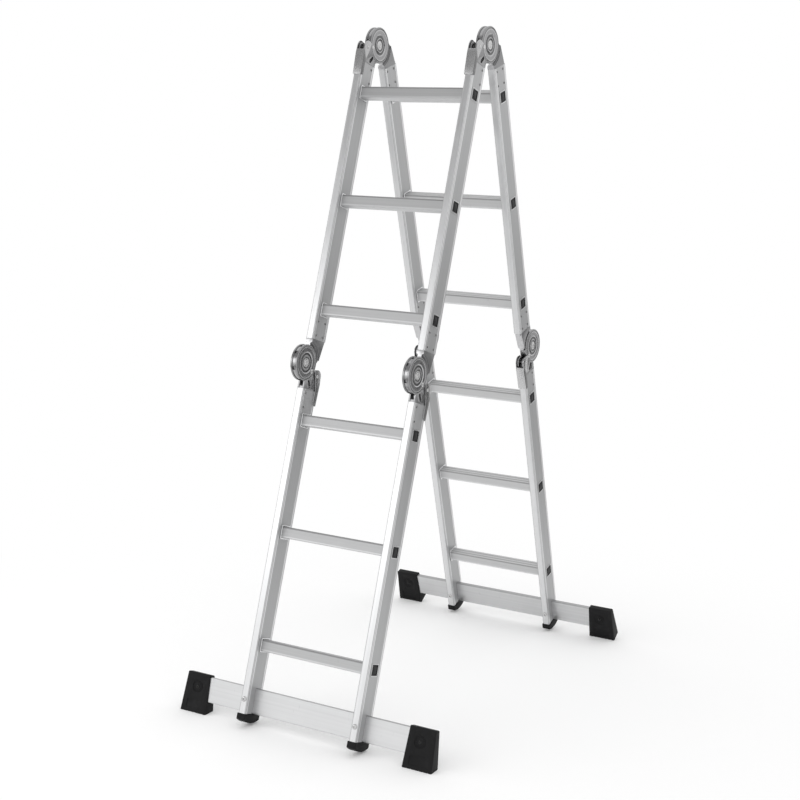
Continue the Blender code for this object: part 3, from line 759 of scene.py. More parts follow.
class LADDER_OT_finish_metalwork(FineOperator):
    """Gives the stiles, rungs and stabiliser bars their aluminium finishes"""

    bl_idname = "ladder.finish_metalwork"
    bl_label = "Finish Stiles, Rungs and Bars"

    def work(self):
        along_rungs, along_stiles = (9.0, 1300.0, 1300.0), (1300.0, 1300.0, 6.0)
        # Painted light and shade: each leg's rungs get their own tint.
        rung_light_and_shade_tints = {"front": colours().front_rung_shade_tint, "rear": colours().rear_rung_light_tint}
        for leg, tint in rung_light_and_shade_tints.items():
            lean = leg_lean(leg)
            stile_metal = aluminium(
                f"{leg}_stile_aluminium", colours().aluminium, along_stiles, lean, areas=stile_areas(leg)
            )
            rung_metal = aluminium(
                f"{leg}_rung_aluminium", tint, along_rungs, lean, 0.45, rung_areas(leg, tint)
            )
            flat = colours().bar_metal
            bar_metal = aluminium(
                f"{leg}_bar_aluminium", flat, along_rungs, lean, areas=bar_areas(leg, flat)
            )
            give_finish(f"{leg}_stabiliser_bar", bar_metal)
            for section in SECTIONS:
                for side in SIDES:
                    give_finish(f"{leg}_{section}_stile_{side}", stile_metal)
                for number in (1, 2, 3):
                    give_finish(f"{leg}_{section}_rung_{number}", rung_metal)


class LADDER_OT_add_rung_ends(FineOperator):
    """Adds a plug in each rung's end, the flared rim round it and a swaged collar inside the stile"""

    bl_idname = "ladder.add_rung_ends"
    bl_label = "Rung Plugs, Rims and Collars"

    def plug(self):
        """Plug whose face looks along Z, with its flange at z 0."""
        half, face = 12.9 * MM, 0.9 * MM
        part = block("plug_pattern", (-half, -half, -2.5 * MM), (half, half, face))
        start_editing(part)
        pick(part, "EDGE", lambda edge: abs((edge.verts[0].co - edge.verts[1].co).z) > MM)
        bpy.ops.mesh.bevel(offset=1.6 * MM, segments=4, affect="EDGES")
        pick(part, "FACE", lambda side: side.normal.z > 0.9)
        for rise, scale in ((0, 0.88), (-1.1, 0.96), (0, 0.70), (0.5, 0.97)):
            self.step(rise, scale)
        pick(part, "FACE", lambda side: side.normal.z < -0.9)
        for rise, scale in ((0, 0.83), (-9, 0.94)):
            self.step(rise, scale)
        end_editing(part)
        return smoothed(eased(part, 0.25 * MM, 2), 18)

    def step(self, rise, scale):
        """Pulls the picked face out or in by some millimetres, and scales it."""
        bpy.ops.mesh.extrude_region_move(TRANSFORM_OT_translate={"value": (0, 0, rise * MM)})
        bpy.ops.transform.resize(value=(scale, scale, 1), center_override=(0, 0, 0))

    def square_ring(self, name, outer, inner, height, ease, segments):
        """Square ring that stands on z 0."""
        edge, opening = (
            rounded_rectangle((-size / 2, -size / 2), (size / 2, size / 2), radius)
            for size, radius in ((outer, 2.6 * MM), (inner, 0.9 * MM))
        )
        ring = cut(plate(name, edge, 0, height), plate("ring_opening", opening, -MM, height + MM))
        return smoothed(eased(ring, ease, segments, 50), 50)

    def work(self):
        size = sizes()
        plug = self.plug()
        rim = self.square_ring(
            "rim_pattern", size.rung_size + 3.4 * MM, size.rung_size - 2.4 * MM, 1.3 * MM, 0.5 * MM, 3
        )
        collar = self.square_ring(
            "collar_pattern", size.rung_size + 7 * MM, size.rung_size + 2 * size.play, 3.2 * MM, 1.5 * MM, 4
        )
        black = moulded("rung_plug_plastic", colours().plastic, 0.42, 1100.0, 0.05)
        # The collars' and rims' lighter tints are partly painted highlights on these rounded ends.
        metal, even = colours().swaged_metal, (300.0, 300.0, 300.0)
        swaged = aluminium("rung_end_aluminium", metal, even, matt=0.12)
        flared = aluminium("rung_rim_aluminium", shade(metal, 0.74), even, matt=0.16)
        face = size.stile_width / 2 - size.web_recess
        for leg, section, number, down_by in every_rung():
            down = leg_ways(leg)[0]
            for side, way in SIDES.items():
                outwards = CROSSWAYS * way
                centre = leg_point(leg, stile_x(side), down_by, axis_offset())
                words = f"{leg}_{section}_{{}}_{number}_{side}"
                body = f"{leg}_{section}"
                for pattern, word, offset, look, finish, slot in (
                    (plug, "rung_plug", size.stile_width / 2, outwards, black, "foot_rubber"),
                    (rim, "rung_rim", face, outwards, flared, "rung_aluminium"),
                    (collar, "rung_collar", -face, -outwards, swaged, "rung_aluminium"),
                ):
                    spot = centre + outwards * offset
                    place = frame_at(spot, down.cross(look), down)
                    fitted(pattern, words.format(word), place, body, finish)
        put_away(plug, rim, collar)


class LADDER_OT_add_stile_rivets(FineOperator):
    """Adds the rivets that hold each hinge half in its stile"""

    bl_idname = "ladder.add_stile_rivets"
    bl_label = "Stile Rivets"

    def work(self):
        size = sizes()
        seat = size.stile_width / 2 - size.web_recess + 0.05 * MM
        head = [
            (0, 0.4), (1.0, 0.45), (1.15, 1.15), (1.7, 1.35), (2.5, 1.1), (3.1, 0.45), (3.2, 0), (2.0, 0),
        ]
        profile = both_ends([(radius, seat + height) for radius, height in in_mm(head)])
        rivet = smoothed(spun("rivet_pattern", profile, 20))
        # The stile rivets' steel is darkened as painted shade, for the shade in their hollow heads.
        steel = bright_steel("stile_rivet_shaded_steel", shade(colours().rivet_metal, 0.42))
        near, far = axis_offset() - 18 * MM, axis_offset() + 15 * MM
        first, last = size.hinge_reach + 9.5 * MM, size.hinge_reach + 45 * MM
        inner_row = [(first, near), (last, near)]
        spots = {"fork": inner_row, "knuckle": [*inner_row, (first, far), (last, far)]}
        for fold, side in every_hinge():
            for half, rows in spots.items():
                place, body = hinge_frame(fold, half, side), hinge_body(fold, half)
                for i, (along, towards) in enumerate(rows):
                    spot = place @ Matrix.Translation((along, towards, 0))
                    fitted(rivet, f"{fold}_{half}_rivet_{i + 1}_{side}", spot, body, steel)
        put_away(rivet)


# A hinge's lock, in its fork's X and Y.
# The arm from the locking pin to the lever's pivot is square to the pin's radius.

LOCK_ANGLE = 30
STAND_ANGLE = 34.6
BORE_RADIUS = 7.3 * MM
LOCK_PIN = Vector(polar(0.050, LOCK_ANGLE))
PIVOT_TOWARDS = 0.056
PIVOT_BACK = (PIVOT_TOWARDS - LOCK_PIN.y) * math.tan(math.radians(LOCK_ANGLE))
PIVOT = Vector((LOCK_PIN.x - PIVOT_BACK, PIVOT_TOWARDS))
SLOT_END = Vector(polar(0.013, 36, LOCK_PIN))


def hinge_tenon(name):
    """Block of a hinge half that goes into its stile. It laps under the half's outer part."""
    size = sizes()
    wide, deep = stile_inside()
    middle, lap = axis_offset(), 6 * MM
    return block(
        name,
        (size.hinge_reach - lap, middle - deep, -wide),
        (size.hinge_reach + size.plug_length, middle + deep, wide),
    )


class LADDER_OT_add_hinge_forks(FineOperator):
    """Replaces the hinges' outer halves with finer ones: ringed and dished cheeks over slotted brackets"""

    bl_idname = "ladder.add_hinge_forks"
    bl_label = "Hinge Forks"

    cheek = [
        (7.3, 4.3), (7.3, 7.6), (13.2, 7.6), (14.2, 7.75), (16.0, 9.0), (17.0, 9.2), (18.0, 9.0),
        (19.8, 7.75), (20.8, 7.6), (23.4, 7.6), (24.4, 7.75), (26.4, 9.45), (27.6, 9.7), (38.2, 9.7),
        (38.9, 9.55), (40.2, 8.75), (40.9, 8.75), (42.0, 9.5), (42.7, 9.65), (43.6, 9.5), (44.5, 9.0),
        (45.0, 8.2), (45.0, 5.0), (44.7, 4.5), (44.2, 4.3),
    ]

    def bracket(self):
        """Plate from a cheek to the stile's end, with the lock's slot and a hole for the lever's pin."""
        size = sizes()
        rim, inner_face, outer_face, past = 36.5 * MM, 4.8 * MM, 9.2 * MM, 20 * MM
        edge = size.fold_gap / 2 + size.play
        end = size.hinge_reach - size.play
        lobe = size.fold_gap / 2 + size.stile_depth - size.play - PIVOT.y
        inner_start = math.degrees(math.acos((PIVOT.x - lobe) / rim))
        inner_end = math.degrees(math.asin(edge / rim))
        outline = arc(rim, inner_start, inner_end, 14)
        outline += [(end, edge), (end, PIVOT.y + lobe)] + arc(lobe, 90, 180, 8, PIVOT)
        part = plate("bracket_pattern", outline, inner_face, outer_face)
        slot = plate("slot_cutter", stadium(LOCK_PIN, SLOT_END, 4.2 * MM), 0, past)
        hole = plate("pivot_cutter", circle(3.3 * MM, 24, PIVOT), 0, past)
        return eased(cut(part, slot, hole), 0.4 * MM, 2)

    def work(self):
        near = spun("fork_pattern", in_mm(self.cheek), 72)
        near = added(near, self.bracket())
        far = mirrored(near, "fork_far_half", "Z")
        fork = smoothed(added(hinge_tenon("fork_tenon"), near, far), 30)
        zinc = plated_steel("hinge_zinc", colours().zinc, 0.26, areas=cheek_areas)
        head = [
            (0, 11.0), (2.6, 10.9), (4.4, 10.6), (5.6, 10.0), (5.9, 9.5), (2.6, 9.5), (2.6, 8.0), (0, 8.0),
        ]
        boss = smoothed(spun("boss_pattern", in_mm(head), 24))
        boss_spot = Matrix.Translation((17 * MM, 30 * MM, 0))
        turns = (Matrix.Identity(4), Matrix.Diagonal((1, -1, -1, 1)))
        steel = rivet_steel()
        for fold, side, place, body in every_half("fork"):
            node = f"{fold}_hinge_fork_{side}"
            fitted(fork, f"{node}_pressed", place, body, zinc, node)
            for i, turn in enumerate(turns):
                spot = place @ boss_spot @ turn
                fitted(boss, f"{fold}_hinge_boss_{i + 1}_{side}", spot, body, steel)
        put_away(fork, boss)


class LADDER_OT_add_hinge_knuckles(FineOperator):
    """Replaces the hinges' inner halves with finer ones: a notched disc with a grooved tail"""

    bl_idname = "ladder.add_hinge_knuckles"
    bl_label = "Hinge Knuckles"

    def notched(self, radius, start, end, notches):
        """Part of a circle with a notch at each of some angles."""
        half_width, depth = 4.25 * MM, 3.5 * MM
        half = math.degrees(math.asin(half_width / radius))
        points, angle = [], start
        for notch in [*notches, None]:
            stop = end if notch is None else notch - half
            points += arc(radius, angle, stop, max(1, round((stop - angle) / 5)))
            if notch is not None:
                points += [polar(radius - depth, notch + way * half) for way in (-1, 1)]
                angle = notch + half
        return points

    def work(self):
        size = sizes()
        edge = size.fold_gap / 2 + size.play
        clear = size.disc_radius + 0.5 * MM
        end = size.hinge_reach - size.play
        far_face = size.fold_gap / 2 + size.stile_depth
        tail_start = math.degrees(math.asin(edge / clear))
        tail_end = 84
        shoulder = (7 * MM, far_face - 17.5 * MM)
        outline = [(end, edge), (end, far_face - 5 * MM), shoulder] + arc(clear, tail_end, tail_start, 20)
        half = size.hinge_width / 2
        tail = plate("knuckle_tail", outline, -half, half)
        groove = in_mm([(44.0, 5.4), (52.0, 5.4), (54.4, 7.2), (54.4, 12.0), (44.0, 12.0)])
        groove = spun("tail_groove", groove, 72)
        eased(cut(tail, mirrored(groove, "tail_groove_far", "Z"), groove), 0.6 * MM, 3)
        locks = [180 - LOCK_ANGLE + fold for fold in (0, 90, 180 - STAND_ANGLE, 180)]
        disc = self.notched(size.disc_radius - 2 * MM, tail_end, 360 + tail_start + 2, locks)
        inset, web_end = 1.2 * MM, end - 9 * MM
        web_top = shoulder[1] - inset
        web = [(web_end, edge + inset), (web_end, web_top), (shoulder[0], web_top)]
        half = size.knuckle_width / 2
        round_plate = plate("knuckle_disc", disc + web, -half, half)
        bore = plate("bore_cutter", circle(BORE_RADIUS, 48), -half * 2, half * 2)
        knuckle = added(tail, cut(round_plate, bore), hinge_tenon("knuckle_tenon"))
        smoothed(knuckle, 30)
        steel = plated_steel("knuckle_plated_steel", colours().knuckle_metal, 0.34, areas=knuckle_areas)
        for fold, side, place, body in every_half("knuckle"):
            node = f"{fold}_hinge_knuckle_{side}"
            fitted(knuckle, f"{node}_notched", place, body, steel, node)
        put_away(knuckle)


class LADDER_OT_add_hinge_axles(FineOperator):
    """Replaces the hinges' axles with finer rivets that have rounded and dimpled heads"""

    bl_idname = "ladder.add_hinge_axles"
    bl_label = "Hinge Axles"

    def work(self):
        head = [
            (0, 9.9), (1.8, 9.95), (2.6, 10.35), (3.6, 10.6), (5.2, 10.45), (6.6, 9.9), (7.3, 9.1),
            (7.6, 8.8), (10.2, 8.75), (11.1, 8.45), (11.5, 7.8), (11.4, 7.65), (7.0, 7.65),
        ]
        axle = smoothed(spun("axle_pattern", both_ends(in_mm(head)), 40))
        steel = rivet_steel()
        for fold, side, place, body in every_half("fork"):
            node = f"{fold}_hinge_axle_{side}"
            fitted(axle, f"{node}_headed", place, body, steel, node)
        put_away(axle)


class LADDER_OT_add_release_levers(FineOperator):
    """Replaces the release levers with finer bent sheet channels, each with its pin and locking pin"""

    bl_idname = "ladder.add_release_levers"
    bl_label = "Release Levers"

    def channel(self):
        """Lever of folded sheet: a face beyond the stile, and two sides with ears round the pivot."""
        size = sizes()
        far_face = size.fold_gap / 2 + size.stile_depth
        face, tip, lip = far_face + 5.4 * MM, far_face + 2.1 * MM, far_face - 10 * MM
        start, bulge, end, sheet = 35 * MM, 44 * MM, 99 * MM, 1.5 * MM
        inner = size.stile_width / 2 + size.play
        ear = arc(16.5 * MM, 90, 200, 18, PIVOT)
        throat = (PIVOT.x - 14.5 * MM, PIVOT.y - 14.5 * MM)
        corner = arc(4 * MM, 270, 360, 5, (end - 4 * MM, lip + 4 * MM))
        outline = [*corner, (end, tip), (bulge, face), *ear, throat, (size.hinge_reach, lip)]
        part = plate("lever_pattern", outline, -inner - sheet, inner + sheet)
        past, above = end + 5 * MM, face + 5 * MM
        under_face, under_tip = face - sheet, tip - sheet
        room = [
            (0, above), (0, 0), (past, 0), (past, under_tip), (end, under_tip), (bulge, under_face),
            (start, under_face), (start, above),
        ]
        cut(part, plate("lever_room", room, -inner, inner))
        return smoothed(eased(part, 0.6 * MM, 3), 35)

    def pins(self):
        """Headed pin that a lever turns on, and its locking pin with the arm that draws it."""
        head = [(0, 13.0), (1.8, 12.9), (3.3, 12.5), (4.1, 12.0), (4.1, 11.85), (3.0, 11.85)]
        pin = smoothed(spun("lever_pin_pattern", both_ends(in_mm(head)), 24))
        pin.data.transform(Matrix.Translation((*PIVOT, 0)))
        end = [(0, 6.6), (1.6, 6.5), (2.6, 6.2), (3.0, 5.7)]
        lock = spun("lock_pin_pattern", both_ends(in_mm(end)), 20)
        lock.data.transform(Matrix.Translation((*LOCK_PIN, 0)))
        arm_half = 3.7 * MM
        arm = plate("lock_arm", stadium(LOCK_PIN, PIVOT, 5 * MM), -arm_half, arm_half)
        added(lock, eased(arm, 0.5 * MM, 2))
        return pin, smoothed(lock)

    def work(self):
        lever = self.channel()
        pin, lock = self.pins()
        sheet = plated_steel("lever_sheet_steel", colours().lever_metal, 0.24, 0.06, lever_areas)
        steel = rivet_steel()
        # The locking pin and its arm are darkened as painted shade, so that the lock's slot reads dark.
        slot_shade_steel = bright_steel("lock_pin_shaded_steel", shade(colours().rivet_metal, 0.15))
        for fold, side in every_hinge():
            place = hinge_frame(fold, "fork", side)
            body = f"{fold}_lever_{side}"
            node = f"{fold}_release_lever_{side}"
            fitted(lever, f"{node}_channel", place, body, sheet, node)
            fitted(pin, f"{fold}_lever_pin_{side}", place, body, steel)
            fitted(lock, f"{fold}_lock_pin_{side}", place, body, slot_shade_steel)
        put_away(lever, pin, lock)


def bar_frame(leg, x):
    """Place of a bar's middle line. X runs to the left, Y to the ladder's front side and Z up the leg."""
    size = sizes()
    down, out = leg_ways(leg)
    front = -out * LEGS[leg]
    drop = 2 * section_length() - size.bar_lift
    centre = leg_point(leg, x, drop, axis_offset()) - front * (size.bar_depth / 2)
    return frame_at(centre, front.cross(-down), front)


class LADDER_OT_add_bar_caps(FineOperator):
    """Replaces the stabiliser bars' caps with finer rubber boots, each with its ringed screw"""

    bl_idname = "ladder.add_bar_caps"
    bl_label = "Bar Caps"

    rings = [
        (0, -1.6), (0, -0.3), (7.4, -0.3), (7.8, 0), (8.8, 0), (9.2, -0.3), (9.3, -0.85),
        (11.4, -0.85), (11.7, -0.3), (12.0, -0.1), (12.8, -0.1), (13.1, -0.35), (13.3, -0.9), (13.4, -1.6),
    ]

    def boot(self):
        """Boot on the bar's end towards +X, with the bar's end at the origin."""
        size = sizes()
        depth, drop, sole = size.bar_depth / 2 + 3 * MM, size.bar_height / 2 + 32 * MM, 32 * MM
        low, high = (-64 * MM, -depth, -drop), (4 * MM, depth, size.bar_height / 2 + 4.5 * MM)
        middle, slope = (low[0] + high[0]) / 2, math.tan(leg_angle("front"))
        part = block("boot_pattern", low, high)
        for vert in part.data.vertices:
            if vert.co.z < 0:
                vert.co.x += math.copysign(5 * MM, vert.co.x - middle)
                if vert.co.y < 0:
                    vert.co.y = depth - sole
                    vert.co.z += sole * slope
        start_editing(part)

        def rounded(edge):
            ends = [vert.co for vert in edge.verts]
            return not (all(end.z < 0 for end in ends) or all(end.x < middle for end in ends))

        pick(part, "EDGE", rounded)
        bpy.ops.mesh.bevel(offset=2.6 * MM, segments=4, affect="EDGES")
        pick(part, "EDGE", lambda edge: self.at_mouth_or_sole(edge, low, drop))
        bpy.ops.mesh.bevel(offset=0.9 * MM, segments=2, affect="EDGES")
        end_editing(part)
        gap = size.play
        room = block(
            "bar_room",
            (-80 * MM, -size.bar_depth / 2 - gap, -size.bar_height / 2 - gap),
            (gap, size.bar_depth / 2 + gap, size.bar_height / 2 + gap),
        )
        return cut(part, room), depth, drop

    @staticmethod
    def at_mouth_or_sole(edge, low, drop):
        sharp = edge.calc_face_angle(0) > math.radians(40)
        ends = [vert.co for vert in edge.verts]
        at_sole = all(end.z < -drop * 0.7 for end in ends)
        at_mouth = all(end.x < low[0] + 6 * MM for end in ends)
        return sharp and (at_sole or at_mouth)

    def tread_grooves(self, front, drop):
        """Cutters across the sole, which slopes so that it lies flat on the floor."""
        turn = Matrix.Translation((0, front, -drop)) @ Matrix.Rotation(-leg_angle("front"), 4, "X")
        slope = turn @ Matrix.Translation((0, -front, drop))
        grooves = []
        for i in range(6):
            x = (-58 + i * 11) * MM
            low, high = (x, -60 * MM, -drop - 9 * MM), (x + 3 * MM, 30 * MM, -drop + 1.4 * MM)
            groove = block(f"tread_{i}", low, high)
            groove.data.transform(slope)
            grooves.append(groove)
        return grooves

    def front_tool(self, name, outline, low, high):
        """Cutter with an outline in X and Z that works on the front, between two depths."""
        return turn_part(plate(name, outline, -high, -low), QUARTER_TURN, "X")

    def work(self):
        size = sizes()
        boot, front, drop = self.boot()
        panel_low, panel_high = (-53 * MM, -drop + 9 * MM), (-7 * MM, -size.bar_height / 2 - 0.5 * MM)
        panel, past = rounded_rectangle(panel_low, panel_high, 2.5 * MM), front + 9 * MM
        cut(boot, self.front_tool("panel_cutter", panel, front - 1.3 * MM, past))
        seat_x, seat_z = -32 * MM, 2 * MM
        dish = circle(15.2 * MM, 48, (seat_x, seat_z))
        cut(boot, self.front_tool("dish_cutter", dish, front - 1.0 * MM, past))
        face = turn_part(spun("ring_face", in_mm(self.rings), 48), -QUARTER_TURN, "X")
        face.data.transform(Matrix.Translation((seat_x, front, seat_z)))
        eased(added(boot, face), 0.35 * MM, 2, 50)
        cut(boot, *self.tread_grooves(front, drop))
        smoothed(boot, 32)
        other = smoothed(mirrored(boot, "boot_other_hand", "X"), 32)
        screw = self.screw()
        rubber = moulded("cap_rubber_black", colours().rubber, 0.56, 1400.0, 0.10)
        steel = bright_steel("cap_screw_steel", shade(colours().rivet_metal, 0.06))
        for leg in LEGS:
            for side, way in SIDES.items():
                node, body = f"{leg}_bar_cap_{side}", f"{leg}_lower"
                place = bar_frame(leg, way * size.bar_length / 2)
                fitted(boot if way < 0 else other, f"{node}_boot", place, body, rubber, node)
                spot = Matrix.Translation((-way * seat_x, front - 0.3 * MM, seat_z))
                fitted(screw, f"{leg}_cap_screw_{side}", place @ spot, body, steel)
        put_away(boot, other, screw)

    def screw(self):
        """Pan head with a cross recess that looks along +Y."""
        profile = [
            (0, -2.5), (0, 1.9), (1.6, 1.85), (3.2, 1.5), (4.3, 0.8), (4.6, 0.1), (4.5, -0.4), (2.0, -0.5),
            (2.0, -2.5),
        ]
        part = spun("screw_pattern", in_mm(profile), 32)
        floor, past, reach, half = 0.7 * MM, 5 * MM, 2.4 * MM, 0.5 * MM
        arms = [block("arm", (-x, -y, floor), (x, y, past)) for x, y in ((reach, half), (half, reach))]
        return turn_part(smoothed(cut(part, *arms), 30), -QUARTER_TURN, "X")


def foot_frame(leg, side, drop):
    """A place on a stile's middle line. Its axes run as a bar's do."""
    down, out = leg_ways(leg)
    front = -out * LEGS[leg]
    return frame_at(leg_point(leg, stile_x(side), drop, axis_offset()), front.cross(-down), front)


class LADDER_OT_add_stile_feet(FineOperator):
    """Replaces the stiles' feet with finer rocker feet that have a tread"""

    bl_idname = "ladder.add_stile_feet"
    bl_label = "Stile Feet"

    def work(self):
        size = sizes()
        skirt, high, side_high = 1.8 * MM, 23 * MM, 15 * MM
        deep, wide = size.stile_depth / 2 + skirt, size.stile_width / 2 + skirt
        sag = high - side_high
        radius = (deep**2 + sag**2) / (2 * sag)
        spread = math.degrees(math.asin(deep / radius))
        outline = arc(radius, -90 - spread, -90 + spread, 24, (0, radius - high))
        outline += [(deep, -size.play), (-deep, -size.play)]
        foot = plate("foot_pattern", outline, -wide, wide)
        turn_part(foot, QUARTER_TURN, "X")
        turn_part(foot, QUARTER_TURN, "Z")
        eased(foot, 1.0 * MM, 3, 60)
        grooves, past = [], wide + 2 * MM
        for i in range(-3, 4):
            y = i * 8 * MM
            low = radius - high - math.sqrt(radius**2 - y**2)
            ends = (-past, y - MM, low - 4 * MM), (past, y + MM, low + 1.6 * MM)
            grooves.append(block(f"groove_{i}", *ends))
        cut(foot, *grooves)
        inner_x, inner_y = stile_inside()
        reaches = ((-inner_y, -size.bar_depth - size.play), (size.play, inner_y))
        for back, front in reaches:
            added(foot, block("foot_plug", (-inner_x, back, -5 * MM), (inner_x, front, 18 * MM)))
        smoothed(foot, 30)
        rubber = moulded("foot_rubber_black", colours().rubber, 0.58, 1300.0, 0.12)
        drop = 2 * section_length() - size.bar_lift + size.bar_height / 2
        for leg in LEGS:
            for side in SIDES:
                node, place = f"{leg}_stile_foot_{side}", foot_frame(leg, side, drop)
                fitted(foot, f"{node}_tread", place, f"{leg}_lower", rubber, node)
        put_away(foot)


class LADDER_OT_add_stabiliser_bolts(FineOperator):
    """Replaces the bolts through stiles and bars with finer ones: a socket head, a washer and a nut"""

    bl_idname = "ladder.add_stabiliser_bolts"
    bl_label = "Stabiliser Bolts"

    def work(self):
        size = sizes()
        face = (size.stile_depth / 2 + size.play) / MM
        head = [
            (0, 1.3), (1.9, 1.3), (2.1, 3.0), (2.7, 3.35), (4.3, 3.0), (5.7, 2.1), (6.4, 0.9), (6.5, 0),
            (3.0, 0),
        ]
        profile = [(radius, face + height) for radius, height in head] + [(3.0, -face - 6), (0, -face - 6)]
        bolt = smoothed(turn_part(spun("bolt_pattern", in_mm(profile), 32), -QUARTER_TURN, "X"))
        section = [(3.2, -face), (6.2, -face), (6.2, -face - 1.0), (3.2, -face - 1.0)]
        washer = spun("washer", in_mm(section), 32)
        low, high = (-face - 5.2) * MM, (-face - 0.9) * MM
        nut = eased(plate("nut_pattern", circle(5.6 * MM, 6), low, high), 0.5 * MM, 2)
        hole = plate("nut_hole", circle(3.1 * MM, 24), low - MM, high + MM)
        nut = smoothed(turn_part(added(cut(nut, hole), washer), -QUARTER_TURN, "X"))
        steel = bright_steel("bolt_zinc_bright", colours().rivet_metal)
        drop = 2 * section_length() - size.bar_lift - 4 * MM
        for leg in LEGS:
            for side in SIDES:
                node, place = f"{leg}_stabiliser_bolt_{side}", foot_frame(leg, side, drop)
                fitted(bolt, f"{node}_headed", place, f"{leg}_lower", steel, node)
                fitted(nut, f"{leg}_stabiliser_nut_{side}", place, f"{leg}_lower", steel)
        put_away(bolt, nut)


class LADDER_OT_set_stage(FineOperator):
    """Sets the floor, the soft studio light and the camera at the viewing angle"""

    bl_idname = "ladder.set_stage"
    bl_label = "Studio"

    def floor(self):
        """Floor that keeps the ladder's shadow near it and fades to plain white farther out."""
        clear_bench()
        bpy.ops.mesh.primitive_plane_add(size=60, location=(0, 0, -0.5 * MM))
        bpy.ops.object.transform_apply()
        floor = named("studio_floor")
        finish = Finish("studio_floor_white", {"Roughness": 0.9, "Specular IOR Level": 0.1})
        finish.set("Base Color", (*colours().floor, 1))
        spot = finish.place()
        reach = finish.node("ShaderNodeVectorMath", {"operation": "LENGTH"}, {0: spot}, "Value")
        far = finish.band(reach, 0.35, 1.7)
        glow = finish.node("ShaderNodeEmission", inputs={"Color": (1, 1, 1, 1), "Strength": 1.0})
        lit = Value(finish, finish.shader.outputs[0])
        mixed = finish.node("ShaderNodeMixShader", inputs={0: far, 1: lit, 2: glow})
        finish.feed(finish.tree.nodes["Material Output"].inputs["Surface"], mixed)
        floor.data.materials.append(finish.material)

    def card(self, name, centre, towards, width, height, grey):
        """A dull card that the ladder's metal reflects. The camera doesn't see it, and it has no shadow."""
        clear_bench()
        bpy.ops.mesh.primitive_plane_add(size=1)
        card = named(name)
        way = (Vector(towards) - Vector(centre)).normalized()
        turn = way.to_track_quat("Z", "Y").to_matrix().to_4x4()
        card.data.transform(Matrix.Translation(centre) @ turn @ Matrix.Diagonal((width, height, 1, 1)))
        finish = Finish(f"{name}_grey", {"Roughness": 1.0, "Specular IOR Level": 0.0})
        finish.set("Base Color", (grey, grey, grey, 1))
        card.data.materials.append(finish.material)
        card.visible_camera = card.visible_shadow = card.visible_diffuse = False

    def world(self):
        """White all round, with one strength for the light and one for what camera and metal see."""
        world = bpy.data.worlds.new("studio")
        bpy.context.scene.world = world
        world.use_nodes = True
        tree = world.node_tree
        tree.nodes.clear()
        path = tree.nodes.new("ShaderNodeLightPath")
        seen = path.outputs["Is Camera Ray"]
        for ray in ("Is Glossy Ray", "Is Transmission Ray"):
            most = tree.nodes.new("ShaderNodeMath")
            most.operation = "MAXIMUM"
            tree.links.new(seen, most.inputs[0])
            tree.links.new(path.outputs[ray], most.inputs[1])
            seen = most.outputs[0]
        lit, shown = tree.nodes.new("ShaderNodeBackground"), tree.nodes.new("ShaderNodeBackground")
        for background, strength in ((lit, 1.0), (shown, 1.0)):
            background.inputs["Color"].default_value = (1, 1, 1, 1)
            background.inputs["Strength"].default_value = strength
        mix, end = tree.nodes.new("ShaderNodeMixShader"), tree.nodes.new("ShaderNodeOutputWorld")
        tree.links.new(seen, mix.inputs[0])
        tree.links.new(lit.outputs[0], mix.inputs[1])
        tree.links.new(shown.outputs[0], mix.inputs[2])
        tree.links.new(mix.outputs[0], end.inputs["Surface"])

    def lamp(self, name, spot, target, size, brightness):
        """Softbox whose face looks that bright, where 1 is white."""
        light = bpy.data.lights.new(name, "AREA")
        light.shape, light.size, light.size_y = "RECTANGLE", *size
        light.energy = brightness * math.pi * light.size * light.size_y
        lamp = bpy.data.objects.new(name, light)
        bpy.context.scene.collection.objects.link(lamp)
        way = Vector(target) - Vector(spot)
        lamp.matrix_world = Matrix.Translation(spot) @ way.to_track_quat("-Z", "Y").to_matrix().to_4x4()

    def camera(self):
        """Camera that was fitted to the rungs' ends, for a square picture of 800 pixels."""
        pixels, focus, middle = 800, 1513.3, (395.94, 412.93)
        yaw, pitch, roll = 0.5196, -0.189, 0.0234
        offset, lean = Vector((1.8767, -3.4142, -0.1941)), math.radians(0.26)
        ahead = Vector((-math.sin(yaw) * math.cos(pitch), math.cos(yaw) * math.cos(pitch), math.sin(pitch)))
        right = Vector((math.cos(yaw), math.sin(yaw), 0))
        up = right.cross(ahead)
        across = right * math.cos(roll) + up * math.sin(roll)
        upright = up * math.cos(roll) - right * math.sin(roll)
        turn = Matrix((across, upright, -ahead)).transposed().to_4x4()
        lens = bpy.data.cameras.new("studio_camera")
        lens.sensor_width = 36
        lens.lens = lens.sensor_width * focus / pixels
        lens.shift_x = (pixels / 2 - middle[0]) / pixels
        lens.shift_y = (middle[1] - pixels / 2) / pixels
        camera = bpy.data.objects.new("studio_camera", lens)
        bpy.context.scene.collection.objects.link(camera)
        swing = Matrix.Translation(axis_point("top_fold")) @ Matrix.Rotation(lean, 4, "X")
        camera.matrix_world = swing @ Matrix.Translation(offset) @ turn
        bpy.context.scene.camera = camera

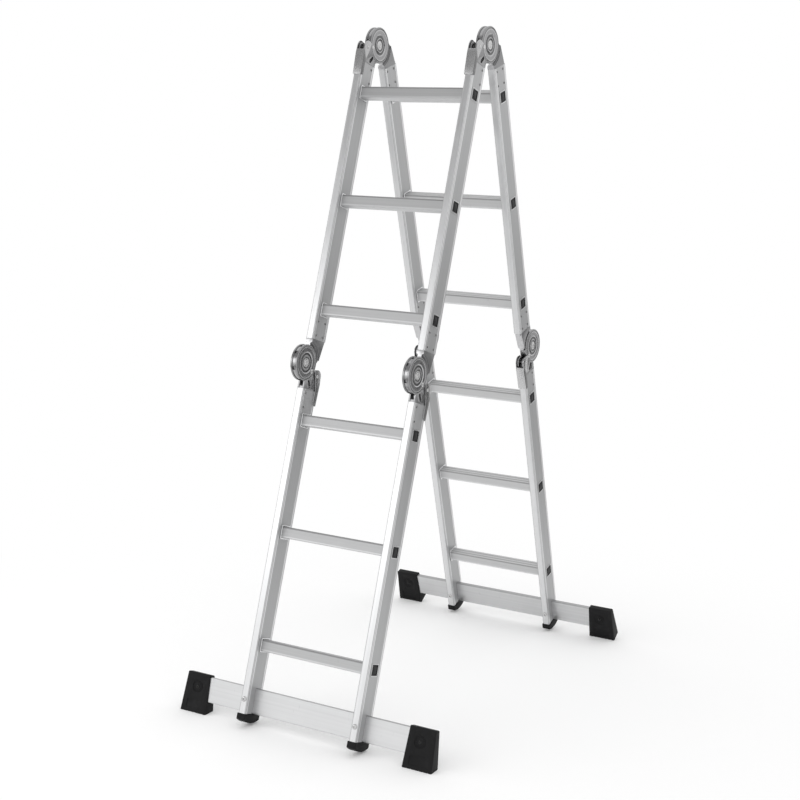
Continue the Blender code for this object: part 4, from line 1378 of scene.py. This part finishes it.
    def work(self):
        self.floor()
        self.card("side_card", (2.35, 2.35, 0.5), (2.35, 0, 0.5), 2.0, 1.1, 0.05)
        self.card("overhead_card", (-1.35, -2.05, 3.05), (0, 0, 1.6), 3.4, 2.2, 0.36)
        self.card("floor_card_left", (-1.65, -2.50, 0.02), (-1.65, -2.50, 1), 2.2, 1.6, 0.10)
        self.card("floor_card_right", (1.45, 1.50, 0.02), (1.45, 1.50, 1), 0.8, 1.6, 0.40)
        self.world()
        self.lamp("front_softbox", (-1.5, -2.3, 1.5), (0, 0, 0.75), (2.4, 1.05), 1.4)
        self.camera()
        bpy.context.scene.view_settings.view_transform = "Standard"


OPERATORS = (
    LADDER_OT_finish_metalwork,
    LADDER_OT_add_rung_ends,
    LADDER_OT_add_stile_rivets,
    LADDER_OT_add_hinge_forks,
    LADDER_OT_add_hinge_knuckles,
    LADDER_OT_add_hinge_axles,
    LADDER_OT_add_release_levers,
    LADDER_OT_add_bar_caps,
    LADDER_OT_add_stile_feet,
    LADDER_OT_add_stabiliser_bolts,
    LADDER_OT_set_stage,
)


class LADDER_PT_pieces(bpy.types.Panel):
    """Lists the ladder's sizes, colours and pieces"""

    bl_label = "Folding Ladder"
    bl_space_type = "VIEW_3D"
    bl_region_type = "UI"
    bl_category = "Ladder"

    def draw(self, context):
        for group in (context.scene.ladder_sizes, context.scene.ladder_colours):
            box = self.layout.box()
            for name in group.__annotations__:
                box.prop(group, name)
        for operator in OPERATORS:
            self.layout.operator(operator.bl_idname)


CLASSES = (LadderSizes, LadderColours, *OPERATORS, LADDER_PT_pieces)


def register():
    for cls in CLASSES:
        bpy.utils.register_class(cls)
    bpy.types.Scene.ladder_sizes = PointerProperty(type=LadderSizes)
    bpy.types.Scene.ladder_colours = PointerProperty(type=LadderColours)


def unregister():
    del bpy.types.Scene.ladder_colours
    del bpy.types.Scene.ladder_sizes
    for cls in reversed(CLASSES):
        bpy.utils.unregister_class(cls)


def main():
    register()
    for operator in OPERATORS:
        group, name = operator.bl_idname.split(".")
        getattr(getattr(bpy.ops, group), name)()


if __name__ == "__main__":
    main()
